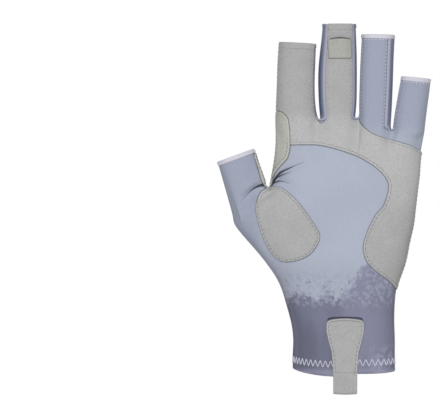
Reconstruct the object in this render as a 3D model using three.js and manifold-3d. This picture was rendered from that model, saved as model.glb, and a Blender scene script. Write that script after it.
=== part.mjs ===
// A fingerless sun and fishing glove for the left hand, in the shape that it has when worn. The fingers
// point along +Z, the palm faces -Y and the thumb lies towards -X. The origin is the middle of the cuff's
// opening. Every length is in millimetres.
import * as THREE from "three";
import Module from "manifold-3d";

const wasm = await Module();
wasm.setup();

// The hand
const HAND_BREADTH = 91; // across the knuckles
const WRIST_BREADTH = 64;
const GLOVE_LENGTH = 158; // from the cuff to the crotches of the fingers
const PALM_DEPTH = 34; // from palm to back
const WRIST_DEPTH = 43;
const THENAR_RISE = 4.5; // how far the thumb's muscle stands proud of the palm
const HYPOTHENAR_RISE = 3;
const PALM_HOLLOW = 2.5; // how far the middle of the palm lies back
const CREASE_DEPTH = 2.2; // of the folds at the thumb's crotch

// The fingers and the thumb, from their crotches to the rims of their openings
const INDEX_LENGTH = 47.4;
const MIDDLE_LENGTH = 57.8;
const RING_LENGTH = 54;
const LITTLE_LENGTH = 32.3;
const THUMB_LENGTH = 35.4;
const INDEX_WIDTH = 22.4;
const MIDDLE_WIDTH = 20.6;
const RING_WIDTH = 20.4;
const LITTLE_WIDTH = 18;
const THUMB_WIDTH = 22.2;
const FINGER_DEPTH = 17;
const LITTLE_DEPTH = 14.8;
const THUMB_DEPTH = 18;
const KNUCKLE_DEPTH = 20.5; // of a finger at its crotch
const CROTCH_WIDTH = 2.2; // between two fingers
const FINGER_CURL = 5; // how far the finger tips lean over the palm
const THUMB_CURL = 6;
const RIM_SLANT = 1.5; // how far the back of an opening stands over its middle, and the palm side below it

// The cloth, the suede and what is sewn on
const CLOTH = 1;
const SUEDE = 1;
const TAPE = 0.7; // thickness of the binding round the openings
const BINDING_HEIGHT = 3;
const HEM_HEIGHT = 10.5; // of the cuff's turned-up layer
const GAP = 0.3; // between two pieces
const NOTCH_DEPTH = 5; // of the rounded cut in the suede below the crotch of index and middle finger
const TAB_WIDTH = 23;
const TAB_HEIGHT = 34.6; // of the wrist tab, from the cuff up
const TAB_DROP = 13; // of the wrist tab's loop below the cuff
const TAB_OFFSET = 1; // of the wrist tab from the middle of the cuff
const TAB_CROWN = 1.6; // how far the corners of its top edge lie below the middle
const LOOP_BAND = 11; // height of the finger loop's band
const LOOP_RISE = 2.6; // how far its middle stands off the finger
const LOOP_SETBACK = 8; // from the finger's rim down to the band

// Rows of the hand from the cuff up. Heights are shares of GLOVE_LENGTH at the thumb's side and the little
// finger's side. Sides are shares of the breadth, and depth of the depth, which the column wrist mixes from
// the wrist's and the hand's. Reach is where the palm face ends, as a share of the half breadth. Spread is
// how far the columns follow the fingers, and valley how far the sections do.
const ROWS = [
  // thumbUp, littleUp, thumbSide, littleSide, wrist, depth, reach, spread, valley
  [0, 0, -0.498, 0.505, 1, 1, 0.94, 0, 0],
  [HEM_HEIGHT / GLOVE_LENGTH, HEM_HEIGHT / GLOVE_LENGTH, -0.498, 0.502, 1, 0.99, 0.94, 0, 0],
  [0.127, 0.127, -0.494, 0.5, 1, 0.97, 0.94, 0, 0],
  [0.203, 0.203, -0.495, 0.474, 0.9, 0.96, 0.94, 0, 0],
  [0.278, 0.278, -0.512, 0.455, 0.75, 0.96, 0.94, 0, 0],
  [0.354, 0.354, -0.522, 0.438, 0.5, 0.97, 0.94, 0, 0],
  [0.43, 0.43, -0.57, 0.453, 0.25, 0.99, 0.94, 0.05, 0],
  [0.506, 0.51, -0.656, 0.463, 0.1, 1, 0.94, 0.1, 0],
  [0.58, 0.589, -0.752, 0.475, 0, 0.99, 0.92, 0.2, 0],
  [0.615, 0.639, -0.699, 0.484, 0, 0.97, 0.85, 0.3, 0],
  [0.648, 0.69, -0.641, 0.494, 0, 0.94, 0.82, 0.4, 0],
  [0.682, 0.741, -0.583, 0.505, 0, 0.91, 0.85, 0.5, 0],
  [0.714, 0.791, -0.528, 0.516, 0, 0.88, 0.93, 0.6, 0],
  [0.782, 0.842, -0.487, 0.521, 0, 0.84, 0.94, 0.7, 0.08],
  [0.857, 0.889, -0.465, 0.534, 0, 0.78, 0.94, 0.85, 0.25],
  [0.925, 0.93, -0.457, 0.548, 0, 0.71, 0.94, 0.95, 0.55],
];
const THUMB_FIRST_ROW = 8;
const THUMB_LAST_ROW = 12;

// Fingers from the thumb's side on. Left and right are the sides at the crotches as shares of HAND_BREADTH,
// leftUp and rightUp their heights as shares of GLOVE_LENGTH, lean the sideways slope, and rim the slope of
// the opening. The seams bound the palm face and the back face, as shares of the half width.
const FINGERS = [
  {
    name: "index", length: INDEX_LENGTH, width: INDEX_WIDTH, depth: FINGER_DEPTH,
    left: -0.458, right: -0.168, leftUp: 0.994, rightUp: 1.009, lean: 0.013, rim: -0.055,
    palmLeft: -0.94, palmRight: 0.87, backLeft: -0.94, backRight: 0.93,
  },
  {
    name: "middle", length: MIDDLE_LENGTH, width: MIDDLE_WIDTH, depth: FINGER_DEPTH,
    left: -0.168, right: 0.093, leftUp: 1.009, rightUp: 1.013, lean: 0.008, rim: 0,
    palmLeft: -0.7, palmRight: 0.75, backLeft: -0.86, backRight: 0.86,
  },
  {
    name: "ring", length: RING_LENGTH, width: RING_WIDTH, depth: FINGER_DEPTH,
    left: 0.093, right: 0.332, leftUp: 1.013, rightUp: 0.965, lean: 0.037, rim: -0.02,
    palmLeft: -0.95, palmRight: 0.6, backLeft: -0.55, backRight: 0.95,
  },
  {
    name: "little", length: LITTLE_LENGTH, width: LITTLE_WIDTH, depth: LITTLE_DEPTH,
    left: 0.332, right: 0.566, leftUp: 0.965, rightUp: 0.949, lean: 0.127, rim: -0.1,
    palmLeft: -0.94, palmRight: 0.92, backLeft: -0.5, backRight: 0.94,
  },
];
const THUMB = { lean: 0.3, rim: 0.35, palmLeft: -0.92, palmRight: 0.85, backLeft: -0.92, backRight: 0.92 };

// Mounds of the palm: place and radius as shares of HAND_BREADTH and GLOVE_LENGTH, and the height.
const MOUNDS = [
  { across: -0.39, up: 0.5, radius: 0.26, height: THENAR_RISE },
  { across: 0.27, up: 0.46, radius: 0.24, height: HYPOTHENAR_RISE },
  { across: 0.06, up: 0.62, radius: 0.24, height: -PALM_HOLLOW },
];

// Creases at the thumb's crotch, from one end to the other, with their half width, as the mounds are placed.
const CREASES = [
  { fromAcross: -0.545, fromUp: 0.745, toAcross: -0.7, toUp: 0.675, width: 0.035, depth: CREASE_DEPTH },
  { fromAcross: -0.5, fromUp: 0.735, toAcross: -0.36, toUp: 0.82, width: 0.035, depth: 0.6 * CREASE_DEPTH },
];

// Outlines of the suede, as points across and up from the lower and inner edge round to the upper edge.
// The smooth curve through them is the edge.
const BAND_LOWER_EDGE = [
  [0.433, 0.299], [0.37, 0.327], [0.308, 0.367], [0.242, 0.395], [0.177, 0.429], [0.149, 0.455],
  [0.135, 0.49], [0.142, 0.524], [0.177, 0.579], [0.225, 0.63], [0.277, 0.666], [0.31, 0.734],
  [0.287, 0.776], [0.232, 0.809], [0.163, 0.837], [0.066, 0.865], [-0.128, 0.899], [-0.273, 0.905],
  [-0.52, 0.901],
];
const BAND_UPPER_EDGE = [
  [0.1, 1.017], [0.114, 0.993], [0.149, 0.969], [0.194, 0.949], [0.262, 0.933], [0.359, 0.918],
  [0.456, 0.901], [0.523, 0.881], [0.599, 0.861],
];
const THENAR_EDGE = [
  [-0.515, 0.718], [-0.412, 0.72], [-0.308, 0.674], [-0.218, 0.602], [-0.164, 0.542], [-0.218, 0.478],
  [-0.322, 0.447], [-0.433, 0.447], [-0.516, 0.496], [-0.571, 0.57], [-0.602, 0.65], [-0.58, 0.7],
];

// The wrist tab from its top down: height as a share of TAB_HEIGHT, and width as a share of TAB_WIDTH.
const TAB_WIDTHS = [
  { up: 1, wide: 1 },
  { up: 0.79, wide: 1 },
  { up: 0.62, wide: 0.91 },
  { up: 0.4, wide: 0.73 },
  { up: 0.18, wide: 0.66 },
  { up: 0, wide: 0.65 },
];
const TAB_LOOP_WIDE = 0.63;

const ROUNDNESS = 2.3; // exponent of every section: 2 is an ellipse, and more is squarer
const FACE_STEPS = 4; // quads across one face of a finger
const TUBE_STEPS = 4 * FACE_STEPS;
const RING_SHARES = [0, 0.16, 0.48, 0.78]; // of a finger's length, below the ring where its binding starts

const points = [];
const faces = [];

function addPoint(x, y, z) {
  points.push(new THREE.Vector3(x, y, z));
  return points.length - 1;
}

const mix = (from, to, share) => from + (to - from) * share;

// Quads between a lower and an upper row of points, with the piece that pieceOf names for each.
function strip(lower, upper, pieceOf) {
  for (let i = 0; i + 1 < lower.length; i++) {
    faces.push({ ids: [lower[i], lower[i + 1], upper[i + 1], upper[i]], piece: pieceOf(i) });
  }
}

// The angle at which a section reaches a share of its half width.
function seamAngle(share) {
  return Math.acos(Math.sign(share) * Math.abs(share) ** (ROUNDNESS / 2));
}

// A point of a section with the given half width and half depth, across and towards the back.
function sectionPoint(angle, halfWidth, halfDepth) {
  const power = 2 / ROUNDNESS;
  const across = Math.sign(Math.cos(angle)) * Math.abs(Math.cos(angle)) ** power;
  const forward = Math.sign(Math.sin(angle)) * Math.abs(Math.sin(angle)) ** power;
  return [halfWidth * across, -halfDepth * forward];
}

// The sixteen angles of a tube: palm face, right side, back face and left side, four steps each.
function tubeAngles({ palmLeft, palmRight, backLeft, backRight }) {
  const start = seamAngle(palmLeft);
  const back = [-seamAngle(backRight), -seamAngle(backLeft)];
  const corners = [start, seamAngle(palmRight), ...back, start - 2 * Math.PI];
  const angles = [];
  for (let side = 0; side < 4; side++) {
    for (let i = 0; i < FACE_STEPS; i++) angles.push(mix(corners[side], corners[side + 1], i / FACE_STEPS));
  }
  return angles;
}

// The shares of a tube's length at which its rings lie: the last two bound the binding.
function ringShares(length) {
  return [...RING_SHARES, 1 - BINDING_HEIGHT / length, 1];
}

// A finger's rings, from its crotches to its opening.
function fingerRings(finger) {
  const left = HAND_BREADTH * finger.left + (finger.name === "index" ? 0 : CROTCH_WIDTH / 2);
  const right = HAND_BREADTH * finger.right - (finger.name === "little" ? 0 : CROTCH_WIDTH / 2);
  const leftUp = GLOVE_LENGTH * finger.leftUp;
  const rightUp = GLOVE_LENGTH * finger.rightUp;
  const slope = (rightUp - leftUp) / (right - left);
  const angles = tubeAngles(finger);
  return ringShares(finger.length).map((share) => {
    const middle = (left + right) / 2 + finger.lean * finger.length * share;
    const height = (leftUp + rightUp) / 2 + finger.length * share;
    const halfWidth = mix(right - left, finger.width, share ** 2) / 2;
    const halfDepth = mix(KNUCKLE_DEPTH, finger.depth, share ** 0.6) / 2;
    const tilt = mix(slope, finger.rim, share);
    return angles.map((angle) => {
      const [x, y] = sectionPoint(angle, halfWidth, halfDepth);
      const slant = (RIM_SLANT * share * y) / halfDepth;
      return addPoint(middle + x, y - FINGER_CURL * share ** 2, height + tilt * x + slant);
    });
  });
}

const fingers = FINGERS.map(fingerRings);

// How far the mounds and the creases move a point of the palm towards the palm's side.
function relief(x, z) {
  let rise = 0;
  for (const { across, up, radius, height } of MOUNDS) {
    const away = Math.hypot(x - across * HAND_BREADTH, z - up * GLOVE_LENGTH) / (radius * HAND_BREADTH);
    rise += height * Math.exp(-(away ** 2));
  }
  for (const { fromAcross, fromUp, toAcross, toUp, width, depth } of CREASES) {
    const from = new THREE.Vector3(fromAcross * HAND_BREADTH, 0, fromUp * GLOVE_LENGTH);
    const to = new THREE.Vector3(toAcross * HAND_BREADTH, 0, toUp * GLOVE_LENGTH);
    const here = new THREE.Vector3(x, 0, z);
    const nearest = new THREE.Line3(from, to).closestPointToPoint(here, true, new THREE.Vector3());
    rise -= depth * Math.exp(-((nearest.distanceTo(here) / (width * HAND_BREADTH)) ** 2));
  }
  return rise;
}

// The top row of the hand is the first ring of each finger: its palm face, its back face and its sides.
const topPalm = fingers.flatMap(([ring]) => ring.slice(0, FACE_STEPS + 1));
const topBack = fingers.flatMap(([ring]) => ring.slice(2 * FACE_STEPS, 3 * FACE_STEPS + 1).reverse());
const lastOf = (list) => list[list.length - 1];
const columnShares = (row) => {
  const start = points[row[0]].x;
  return row.map((id) => (points[id].x - start) / (points[lastOf(row)].x - start));
};
const palmShares = columnShares(topPalm);
const backShares = columnShares(topBack);

// One row of the hand as four lists of points: across the palm, round the little finger's side from palm
// to back, across the back from the thumb's side, and round the thumb's side from palm to back.
function handRow([thumbUp, littleUp, thumbSide, littleSide, wrist, depth, reach, spread, valley], index) {
  const breadth = mix(HAND_BREADTH, WRIST_BREADTH, wrist);
  const halfDepth = (mix(PALM_DEPTH, WRIST_DEPTH, wrist) * depth) / 2;
  const [left, right] = [thumbSide * breadth, littleSide * breadth];
  const open = index > THUMB_FIRST_ROW && index < THUMB_LAST_ROW; // the thumb's tube starts here
  const leftEnd = open ? -reach : -1;
  const height = (x) => GLOVE_LENGTH * mix(thumbUp, littleUp, (x - left) / (right - left));
  const across = (share) => mix(left, right, (share - leftEnd) / (1 - leftEnd));
  const place = (share, y) => addPoint(across(share), y, height(across(share)));
  const face = (shares, top, side) =>
    shares.map((share, column) => {
      const even = column / (shares.length - 1);
      const position = mix(-reach, 0.94, mix(even, share, spread));
      const round = halfDepth * (1 - Math.abs(position) ** ROUNDNESS) ** (1 / ROUNDNESS);
      const y = mix(side * round, points[top[column]].y, valley);
      const x = across(position);
      return place(position, side < 0 ? y - relief(x, height(x)) : y);
    });
  const sideOf = (end, seam) =>
    [1, 2, 3].map((step) => {
      const angle = mix(seamAngle(end * seam), 2 * Math.PI * (end < 0) - seamAngle(end * seam), step / 4);
      const [share, y] = sectionPoint(angle, 1, halfDepth);
      return place(share, y);
    });
  return {
    palm: face(palmShares, topPalm, -1),
    little: sideOf(1, 0.94),
    back: face(backShares, topBack, 1),
    thumb: open ? [] : sideOf(-1, reach),
  };
}

const hand = ROWS.map(handRow);
hand.push({
  palm: topPalm,
  little: fingers[3][0].slice(FACE_STEPS + 1, 2 * FACE_STEPS),
  back: topBack,
  thumb: fingers[0][0].slice(3 * FACE_STEPS + 1).reverse(),
});

// The hand's own panels: the side seams lie half way between palm and back.
const PALM_PANEL = () => "palm_panel";
const BACK_PANEL = () => "back_panel";
const palmFirst = (i) => (i < FACE_STEPS / 2 ? "palm_panel" : "back_panel");
const backFirst = (i) => (i < FACE_STEPS / 2 ? "back_panel" : "palm_panel");
const handFaces = [];
hand.slice(0, -1).forEach((lower, index) => {
  const upper = hand[index + 1];
  const first = faces.length;
  const littleSide = (row) => [lastOf(row.palm), ...row.little, lastOf(row.back)];
  const thumbSide = (row) => [row.back[0], ...[...row.thumb].reverse(), row.palm[0]];
  strip(lower.palm, upper.palm, PALM_PANEL);
  strip(littleSide(lower), littleSide(upper), palmFirst);
  strip([...lower.back].reverse(), [...upper.back].reverse(), BACK_PANEL);
  const closed = index < THUMB_FIRST_ROW || index >= THUMB_LAST_ROW;
  if (closed) strip(thumbSide(lower), thumbSide(upper), backFirst);
  handFaces.push(faces.slice(first));
});

// The strips between the fingers run down one finger, across the crotch and up the next.
const FOURCHETTES = ["fourchette_index_middle", "fourchette_middle_ring", "fourchette_ring_little"];
const fingerFaces = [];

function tubeFaces(rings, pieceOf) {
  const made = [];
  rings.slice(0, -1).forEach((lower, index) => {
    const upper = rings[index + 1];
    const first = faces.length;
    strip([...lower, lower[0]], [...upper, upper[0]], pieceOf);
    made.push(faces.slice(first));
  });
  return made;
}

fingers.forEach((rings, index) => {
  const sides = [
    PALM_PANEL,
    index < 3 ? () => FOURCHETTES[index] : palmFirst,
    BACK_PANEL,
    index > 0 ? () => FOURCHETTES[index - 1] : backFirst,
  ];
  fingerFaces.push(tubeFaces(rings, (i) => sides[Math.floor(i / FACE_STEPS)](i % FACE_STEPS)));
});
FOURCHETTES.forEach((name, index) => {
  const left = fingers[index][0].slice(FACE_STEPS, 2 * FACE_STEPS + 1);
  const [start, ...rest] = fingers[index + 1][0];
  const right = [start, ...rest.slice(3 * FACE_STEPS - 1).reverse()];
  for (let i = 0; i < FACE_STEPS; i++) {
    faces.push({ ids: [left[i], right[i], right[i + 1], left[i + 1]], piece: name });
  }
});

// The thumb grows out of the opening that the rows leave in the thumb's side.
function thumbRings() {
  const rows = hand.slice(THUMB_FIRST_ROW, THUMB_LAST_ROW + 1);
  const base = [
    ...rows.map((row) => row.palm[0]),
    ...lastOf(rows).thumb,
    ...rows.map((row) => row.back[0]).reverse(),
    ...[...rows[0].thumb].reverse(),
  ];
  const root = base.reduce((sum, id) => sum.add(points[id]), new THREE.Vector3()).divideScalar(base.length);
  const tip = root.clone();
  tip.x -= THUMB_LENGTH * Math.sin(THUMB.lean);
  tip.z += THUMB_LENGTH * Math.cos(THUMB.lean);
  const tipRing = tubeAngles(THUMB).map((angle) => {
    const [across, y] = sectionPoint(angle, THUMB_WIDTH / 2, THUMB_DEPTH / 2);
    const x = across * Math.cos(THUMB.rim);
    const slant = (RIM_SLANT * y) / (THUMB_DEPTH / 2);
    return new THREE.Vector3(tip.x + x, y - THUMB_CURL, tip.z + across * Math.sin(THUMB.rim) + slant);
  });
  return ringShares(THUMB_LENGTH).map((share) =>
    base.map((id, i) => {
      if (share === 0) return id;
      const place = points[id].clone().lerp(tipRing[i], share);
      return addPoint(place.x, place.y, place.z);
    }),
  );
}

const thumb = thumbRings();
const THUMB_SIDES = [PALM_PANEL, palmFirst, BACK_PANEL, backFirst];
const thumbFaces = tubeFaces(thumb, (i) => THUMB_SIDES[Math.floor(i / FACE_STEPS)](i % FACE_STEPS));

// Outward directions at every point, and the directed edges of the whole glove.
const normals = points.map(() => new THREE.Vector3());
const edgeKey = (from, to) => `${from},${to}`;
const gloveEdges = new Set();
for (const { ids } of faces) {
  const [a, b, c, d] = ids.map((id) => points[id]);
  const facing = c.clone().sub(a).cross(d.clone().sub(b));
  ids.forEach((id, i) => {
    normals[id].add(facing);
    gloveEdges.add(edgeKey(id, ids[(i + 1) % 4]));
  });
}
normals.forEach((normal) => normal.normalize());

function solid(vertices, triangles) {
  const mesh = { numProp: 3, vertProperties: new Float32Array(vertices.flatMap((v) => v.toArray())) };
  return new wasm.Manifold(new wasm.Mesh({ ...mesh, triVerts: new Uint32Array(triangles.flat()) }));
}

// A closed sheet over some faces, between two distances from them. Where it meets another piece its edge
// is drawn in by half a gap, and at the rims of the openings it isn't.
function sheet(chosen, low, high) {
  const edges = new Map();
  for (const { ids } of chosen) {
    ids.forEach((id, i) => {
      const next = ids[(i + 1) % 4];
      edges.set(edgeKey(id, next), [id, next]);
    });
  }
  const border = [...edges.values()].filter(([from, to]) => !edges.has(edgeKey(to, from)));
  const tuck = new Map();
  for (const [from, to] of border.filter(([a, b]) => gloveEdges.has(edgeKey(b, a)))) {
    const facing = normals[from].clone().add(normals[to]);
    const inward = facing.cross(points[to].clone().sub(points[from])).normalize();
    for (const id of [from, to]) tuck.set(id, (tuck.get(id) ?? new THREE.Vector3()).add(inward));
  }
  const used = [...new Set(chosen.flatMap(({ ids }) => ids))];
  const order = new Map(used.map((id, i) => [id, i]));
  const level = (distance) =>
    used.map((id) => {
      const place = points[id].clone().addScaledVector(normals[id], distance);
      return tuck.has(id) ? place.addScaledVector(tuck.get(id).clone().normalize(), GAP / 2) : place;
    });
  const triangles = [];
  const under = used.length;
  for (const { ids } of chosen) {
    const [a, b, c, d] = ids.map((id) => order.get(id));
    triangles.push([a, b, c], [a, c, d]);
    triangles.push([c + under, b + under, a + under], [d + under, c + under, a + under]);
  }
  for (const [from, to] of border) {
    const [a, b] = [order.get(from), order.get(to)];
    triangles.push([b, a, a + under], [b, a + under, b + under]);
  }
  return solid([...level(high), ...level(low)], triangles);
}

// A closed slab between an outer and an inner grid of points.
function slab(outer, inner) {
  const rows = outer.length;
  const columns = outer[0].length;
  const under = rows * columns;
  const at = (i, j) => i * columns + j;
  const triangles = [];
  const wall = (a, b) => triangles.push([b, a, a + under], [b, a + under, b + under]);
  for (let i = 0; i + 1 < rows; i++) {
    for (let j = 0; j + 1 < columns; j++) {
      const [a, b, c, d] = [at(i, j), at(i, j + 1), at(i + 1, j + 1), at(i + 1, j)];
      triangles.push([a, b, c], [a, c, d]);
      triangles.push([c + under, b + under, a + under], [d + under, c + under, a + under]);
    }
    wall(at(i + 1, 0), at(i, 0));
    wall(at(i, columns - 1), at(i + 1, columns - 1));
  }
  for (let j = 0; j + 1 < columns; j++) {
    wall(at(0, j), at(0, j + 1));
    wall(at(rows - 1, j + 1), at(rows - 1, j));
  }
  return solid([...outer.flat(), ...inner.flat()], triangles);
}

// A prism from front to back over an outline seen from the palm's side.
function prism(outline) {
  const shape = new THREE.Shape(outline.map(([x, z]) => new THREE.Vector2(x, z)));
  const reach = PALM_DEPTH + WRIST_DEPTH;
  const block = new THREE.ExtrudeGeometry(shape, { depth: 2 * reach, bevelEnabled: false });
  block.rotateX(Math.PI / 2).translate(0, reach, 0);
  const place = block.getAttribute("position");
  const seen = new Map();
  const vertices = [];
  const ids = Array.from({ length: place.count }, (_, i) => {
    const vertex = new THREE.Vector3().fromBufferAttribute(place, i);
    const key = vertex.toArray().map((value) => value.toFixed(4)).join();
    if (!seen.has(key)) seen.set(key, vertices.push(vertex) - 1);
    return seen.get(key);
  });
  const triangles = [];
  for (let i = 0; i < ids.length; i += 3) triangles.push(ids.slice(i, i + 3));
  return solid(vertices, triangles);
}

const EDGE_STEPS = 2; // stretches of a suede edge between two of its points
function smoothEdge(shares, closed) {
  const path = shares.map(([across, up]) => new THREE.Vector3(across * HAND_BREADTH, 0, up * GLOVE_LENGTH));
  const curve = new THREE.CatmullRomCurve3(path, closed, "centripetal");
  const spaced = curve.getPoints(EDGE_STEPS * (closed ? path.length : path.length - 1));
  return (closed ? spaced.slice(0, -1) : spaced).map(({ x, z }) => [x, z]);
}

// The stretch-cloth panels and the strips between the fingers.
const panels = ["palm_panel", "back_panel", ...FOURCHETTES].map((name) => {
  const own = faces.filter(({ piece }) => piece === name);
  return [name, sheet(own, -CLOTH, 0)];
});

// The thumb web patch: round the thumb's inner side and half its back, through the crotch, and up the
// hand's edge to just above the index finger's crotch, with a tail down the back of the hand.
const PALM_FIRST = 0; // places of the strips in a row of the hand's faces
const BACK_LAST = topPalm.length - 1 + FACE_STEPS + topBack.length - 2;
const thumbSideOf = (rowFaces) => rowFaces.slice(-FACE_STEPS);
const webFaces = [
  ...thumbFaces.slice(0, -1).flatMap((ring) => ring.slice(FACE_STEPS, 2.5 * FACE_STEPS)),
  ...handFaces.slice(THUMB_LAST_ROW).flatMap(thumbSideOf),
  ...handFaces.slice(THUMB_LAST_ROW + 1).map((row) => row[PALM_FIRST]),
  ...handFaces.slice(THUMB_LAST_ROW - 2, THUMB_LAST_ROW).map((row) => row[BACK_LAST]),
  fingerFaces[0][0][0],
  ...thumbSideOf(fingerFaces[0][0]),
];
const web = sheet(webFaces, GAP, GAP + SUEDE);

// The palm's suede: index and middle finger up to their rims, the band under the knuckles and down the
// little finger's side, with a rounded notch at the crotch of index and middle finger.
const bare = (rowFaces) => rowFaces.filter((face) => face.piece === "palm_panel" && !webFaces.includes(face));
const FAR = HAND_BREADTH + GLOVE_LENGTH + MIDDLE_LENGTH;
const notchAcross = FINGERS[0].right * HAND_BREADTH;
const notchUp = FINGERS[0].rightUp * GLOVE_LENGTH;
const NOTCH_STEPS = 12;
const notch = Array.from({ length: NOTCH_STEPS + 1 }, (_, i) => {
  const angle = Math.PI * (1 + i / NOTCH_STEPS);
  return [notchAcross + NOTCH_DEPTH * Math.cos(angle), notchUp + NOTCH_DEPTH * Math.sin(angle)];
});
for (const side of [1, -1]) notch.push([notchAcross + side * NOTCH_DEPTH, notchUp + NOTCH_DEPTH]);
const bandEdge = [
  ...smoothEdge(BAND_UPPER_EDGE, false).reverse(),
  [FINGERS[1].right * HAND_BREADTH, FAR],
  [-HAND_BREADTH, FAR],
  [-HAND_BREADTH, lastOf(BAND_LOWER_EDGE)[1] * GLOVE_LENGTH],
  ...smoothEdge(BAND_LOWER_EDGE, false).reverse(),
];
const suedeFaces = [handFaces, fingerFaces[0], fingerFaces[1]].flat().flatMap(bare);
const suede = sheet(suedeFaces, GAP, GAP + SUEDE).intersect(prism(bandEdge)).subtract(prism(notch));

const thenarFaces = [...handFaces.flatMap(bare), ...thumbFaces[0].slice(0, FACE_STEPS)];
const thenar = sheet(thenarFaces, GAP, GAP + SUEDE).intersect(prism(smoothEdge(THENAR_EDGE, true)));

// The binding: a tape folded over the rim of an opening, down to the ring below it. Its section goes round
// the edge of the cloth, as pairs of distance outwards and height over the rim.
const inside = -(CLOTH + GAP);
const tapeSection = (foot) => [
  [GAP, foot], [GAP + TAPE, foot], [GAP + TAPE, GAP + TAPE], [inside - TAPE, GAP + TAPE],
  [inside - TAPE, foot], [inside, foot], [inside, GAP], [GAP, GAP],
];

function binding(rings, first, count) {
  const rim = lastOf(rings);
  const below = rings[rings.length - 2];
  const closed = count === TUBE_STEPS;
  const steps = closed ? count : count + 1;
  const sections = Array.from({ length: steps }, (_, i) => {
    const at = (first + i) % TUBE_STEPS;
    const along = points[rim[at]].clone().sub(points[below[at]]);
    const foot = GAP - along.length();
    along.normalize();
    const base = points[rim[at]].clone();
    if (!closed && (i === 0 || i === count)) {
      const next = points[rim[(at + (i === 0 ? 1 : TUBE_STEPS - 1)) % TUBE_STEPS]];
      base.addScaledVector(next.clone().sub(base).normalize(), GAP); // clear of the suede's edge
    }
    return tapeSection(foot).map(([out, up]) =>
      base.clone().addScaledVector(normals[rim[at]], out).addScaledVector(along, up),
    );
  });
  const corners = sections[0].length;
  const triangles = [];
  for (let i = 0; i < (closed ? steps : count); i++) {
    for (let j = 0; j < corners; j++) {
      const next = (i + 1) % steps;
      const up = (j + 1) % corners;
      const [a, b, c, d] = [i * corners + j, next * corners + j, next * corners + up, i * corners + up];
      triangles.push([a, b, c], [a, c, d]);
    }
  }
  if (!closed) {
    const cap = [[0, 1, 2], [0, 2, 7], [7, 2, 3], [7, 3, 6], [6, 3, 4], [6, 4, 5]];
    const end = count * corners;
    for (const [a, b, c] of cap) triangles.push([b, c, a], [a + end, c + end, b + end]);
  }
  return solid(sections.flat(), triangles);
}

const bindings = [
  ["binding_thumb", binding(thumb, 0, TUBE_STEPS)],
  ["binding_index", binding(fingers[0], FACE_STEPS, 2.5 * FACE_STEPS)],
  ["binding_middle", binding(fingers[1], FACE_STEPS, 3 * FACE_STEPS)],
  ["binding_ring", binding(fingers[2], 0, TUBE_STEPS)],
  ["binding_little", binding(fingers[3], 0, TUBE_STEPS)],
];

// The cuff's hem is the cloth turned up inside.
const hem = sheet(handFaces[0], -(2 * CLOTH + GAP), -(CLOTH + GAP));

// The surface of a grid of points at a place between its rows and columns, with its outward direction.
function onGrid(grid, row, column) {
  const i = Math.min(Math.floor(row), grid.length - 2);
  const j = Math.min(Math.floor(column), grid[0].length - 2);
  const blend = (list) => {
    const low = list[grid[i][j]].clone().lerp(list[grid[i][j + 1]], column - j);
    return low.lerp(list[grid[i + 1][j]].clone().lerp(list[grid[i + 1][j + 1]], column - j), row - i);
  };
  return { place: blend(points), facing: blend(normals).normalize() };
}

const palmGrid = hand.map((row) => row.palm);

// The palm's surface at a place across and up the wrist, where the rows are level.
function onWrist(x, z) {
  const level = (list, value, read) => {
    const next = Math.max(1, list.findIndex((item, i) => i > 0 && read(item) >= value));
    return next - 1 + (value - read(list[next - 1])) / (read(list[next]) - read(list[next - 1]));
  };
  const row = level(palmGrid, Math.max(z, 0), (ids) => points[ids[0]].z);
  const columns = Array.from({ length: palmGrid[0].length }, (_, column) => column);
  const column = level(columns, x, (at) => onGrid(palmGrid, row, at).place.x);
  const surface = onGrid(palmGrid, row, column);
  surface.place.z = z;
  return surface;
}

// The wrist tab: a strip of suede down the outside of the cuff, round in a loop below it and up inside the
// hem. Each station is its height, the distance of its middle from the palm's surface and the turn of its
// section; widths follow the table.
const tabMiddle = GAP + SUEDE / 2;
const tabInside = -(2 * CLOTH + 2 * GAP + SUEDE / 2);
const tabRadius = (tabMiddle - tabInside) / 2;
const tabWidth = (share) => {
  const next = TAB_WIDTHS.findIndex(({ up }) => up <= share);
  if (next < 1) return TAB_WIDTH * TAB_WIDTHS[0].wide;
  const [above, below] = [TAB_WIDTHS[next - 1], TAB_WIDTHS[next]];
  return TAB_WIDTH * mix(below.wide, above.wide, (share - below.up) / (above.up - below.up));
};
const LOOP_STEPS = 6;
const tabStations = [
  ...TAB_WIDTHS.map(({ up }) => ({ z: up * TAB_HEIGHT, out: tabMiddle, turn: 0, wide: tabWidth(up) })),
  ...Array.from({ length: LOOP_STEPS + 1 }, (_, i) => {
    const turn = (Math.PI * i) / LOOP_STEPS;
    return {
      z: -(TAB_DROP - SUEDE / 2 - tabRadius) - tabRadius * Math.sin(turn),
      out: tabMiddle - tabRadius * (1 - Math.cos(turn)),
      turn,
      wide: TAB_WIDTH * TAB_LOOP_WIDE,
    };
  }),
  { z: 0, out: tabInside, turn: Math.PI, wide: TAB_WIDTH * TAB_LOOP_WIDE },
  { z: HEM_HEIGHT * 0.8, out: tabInside, turn: Math.PI, wide: TAB_WIDTH * TAB_LOOP_WIDE },
];
const TAB_STEPS = 6;
const tabLayer = (side) =>
  tabStations.map(({ z, out, turn, wide }, station) =>
    Array.from({ length: TAB_STEPS + 1 }, (_, i) => {
      const share = (2 * i) / TAB_STEPS - 1;
      const drop = station === 0 ? TAB_CROWN * share ** 2 : 0;
      const { place, facing } = onWrist(TAB_OFFSET + (share * wide) / 2, z - drop);
      place.addScaledVector(facing, out + (side * SUEDE * Math.cos(turn)) / 2);
      place.z -= (side * SUEDE * Math.sin(turn)) / 2;
      return place;
    }),
  );
const tab = slab(tabLayer(-1), tabLayer(1));

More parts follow.
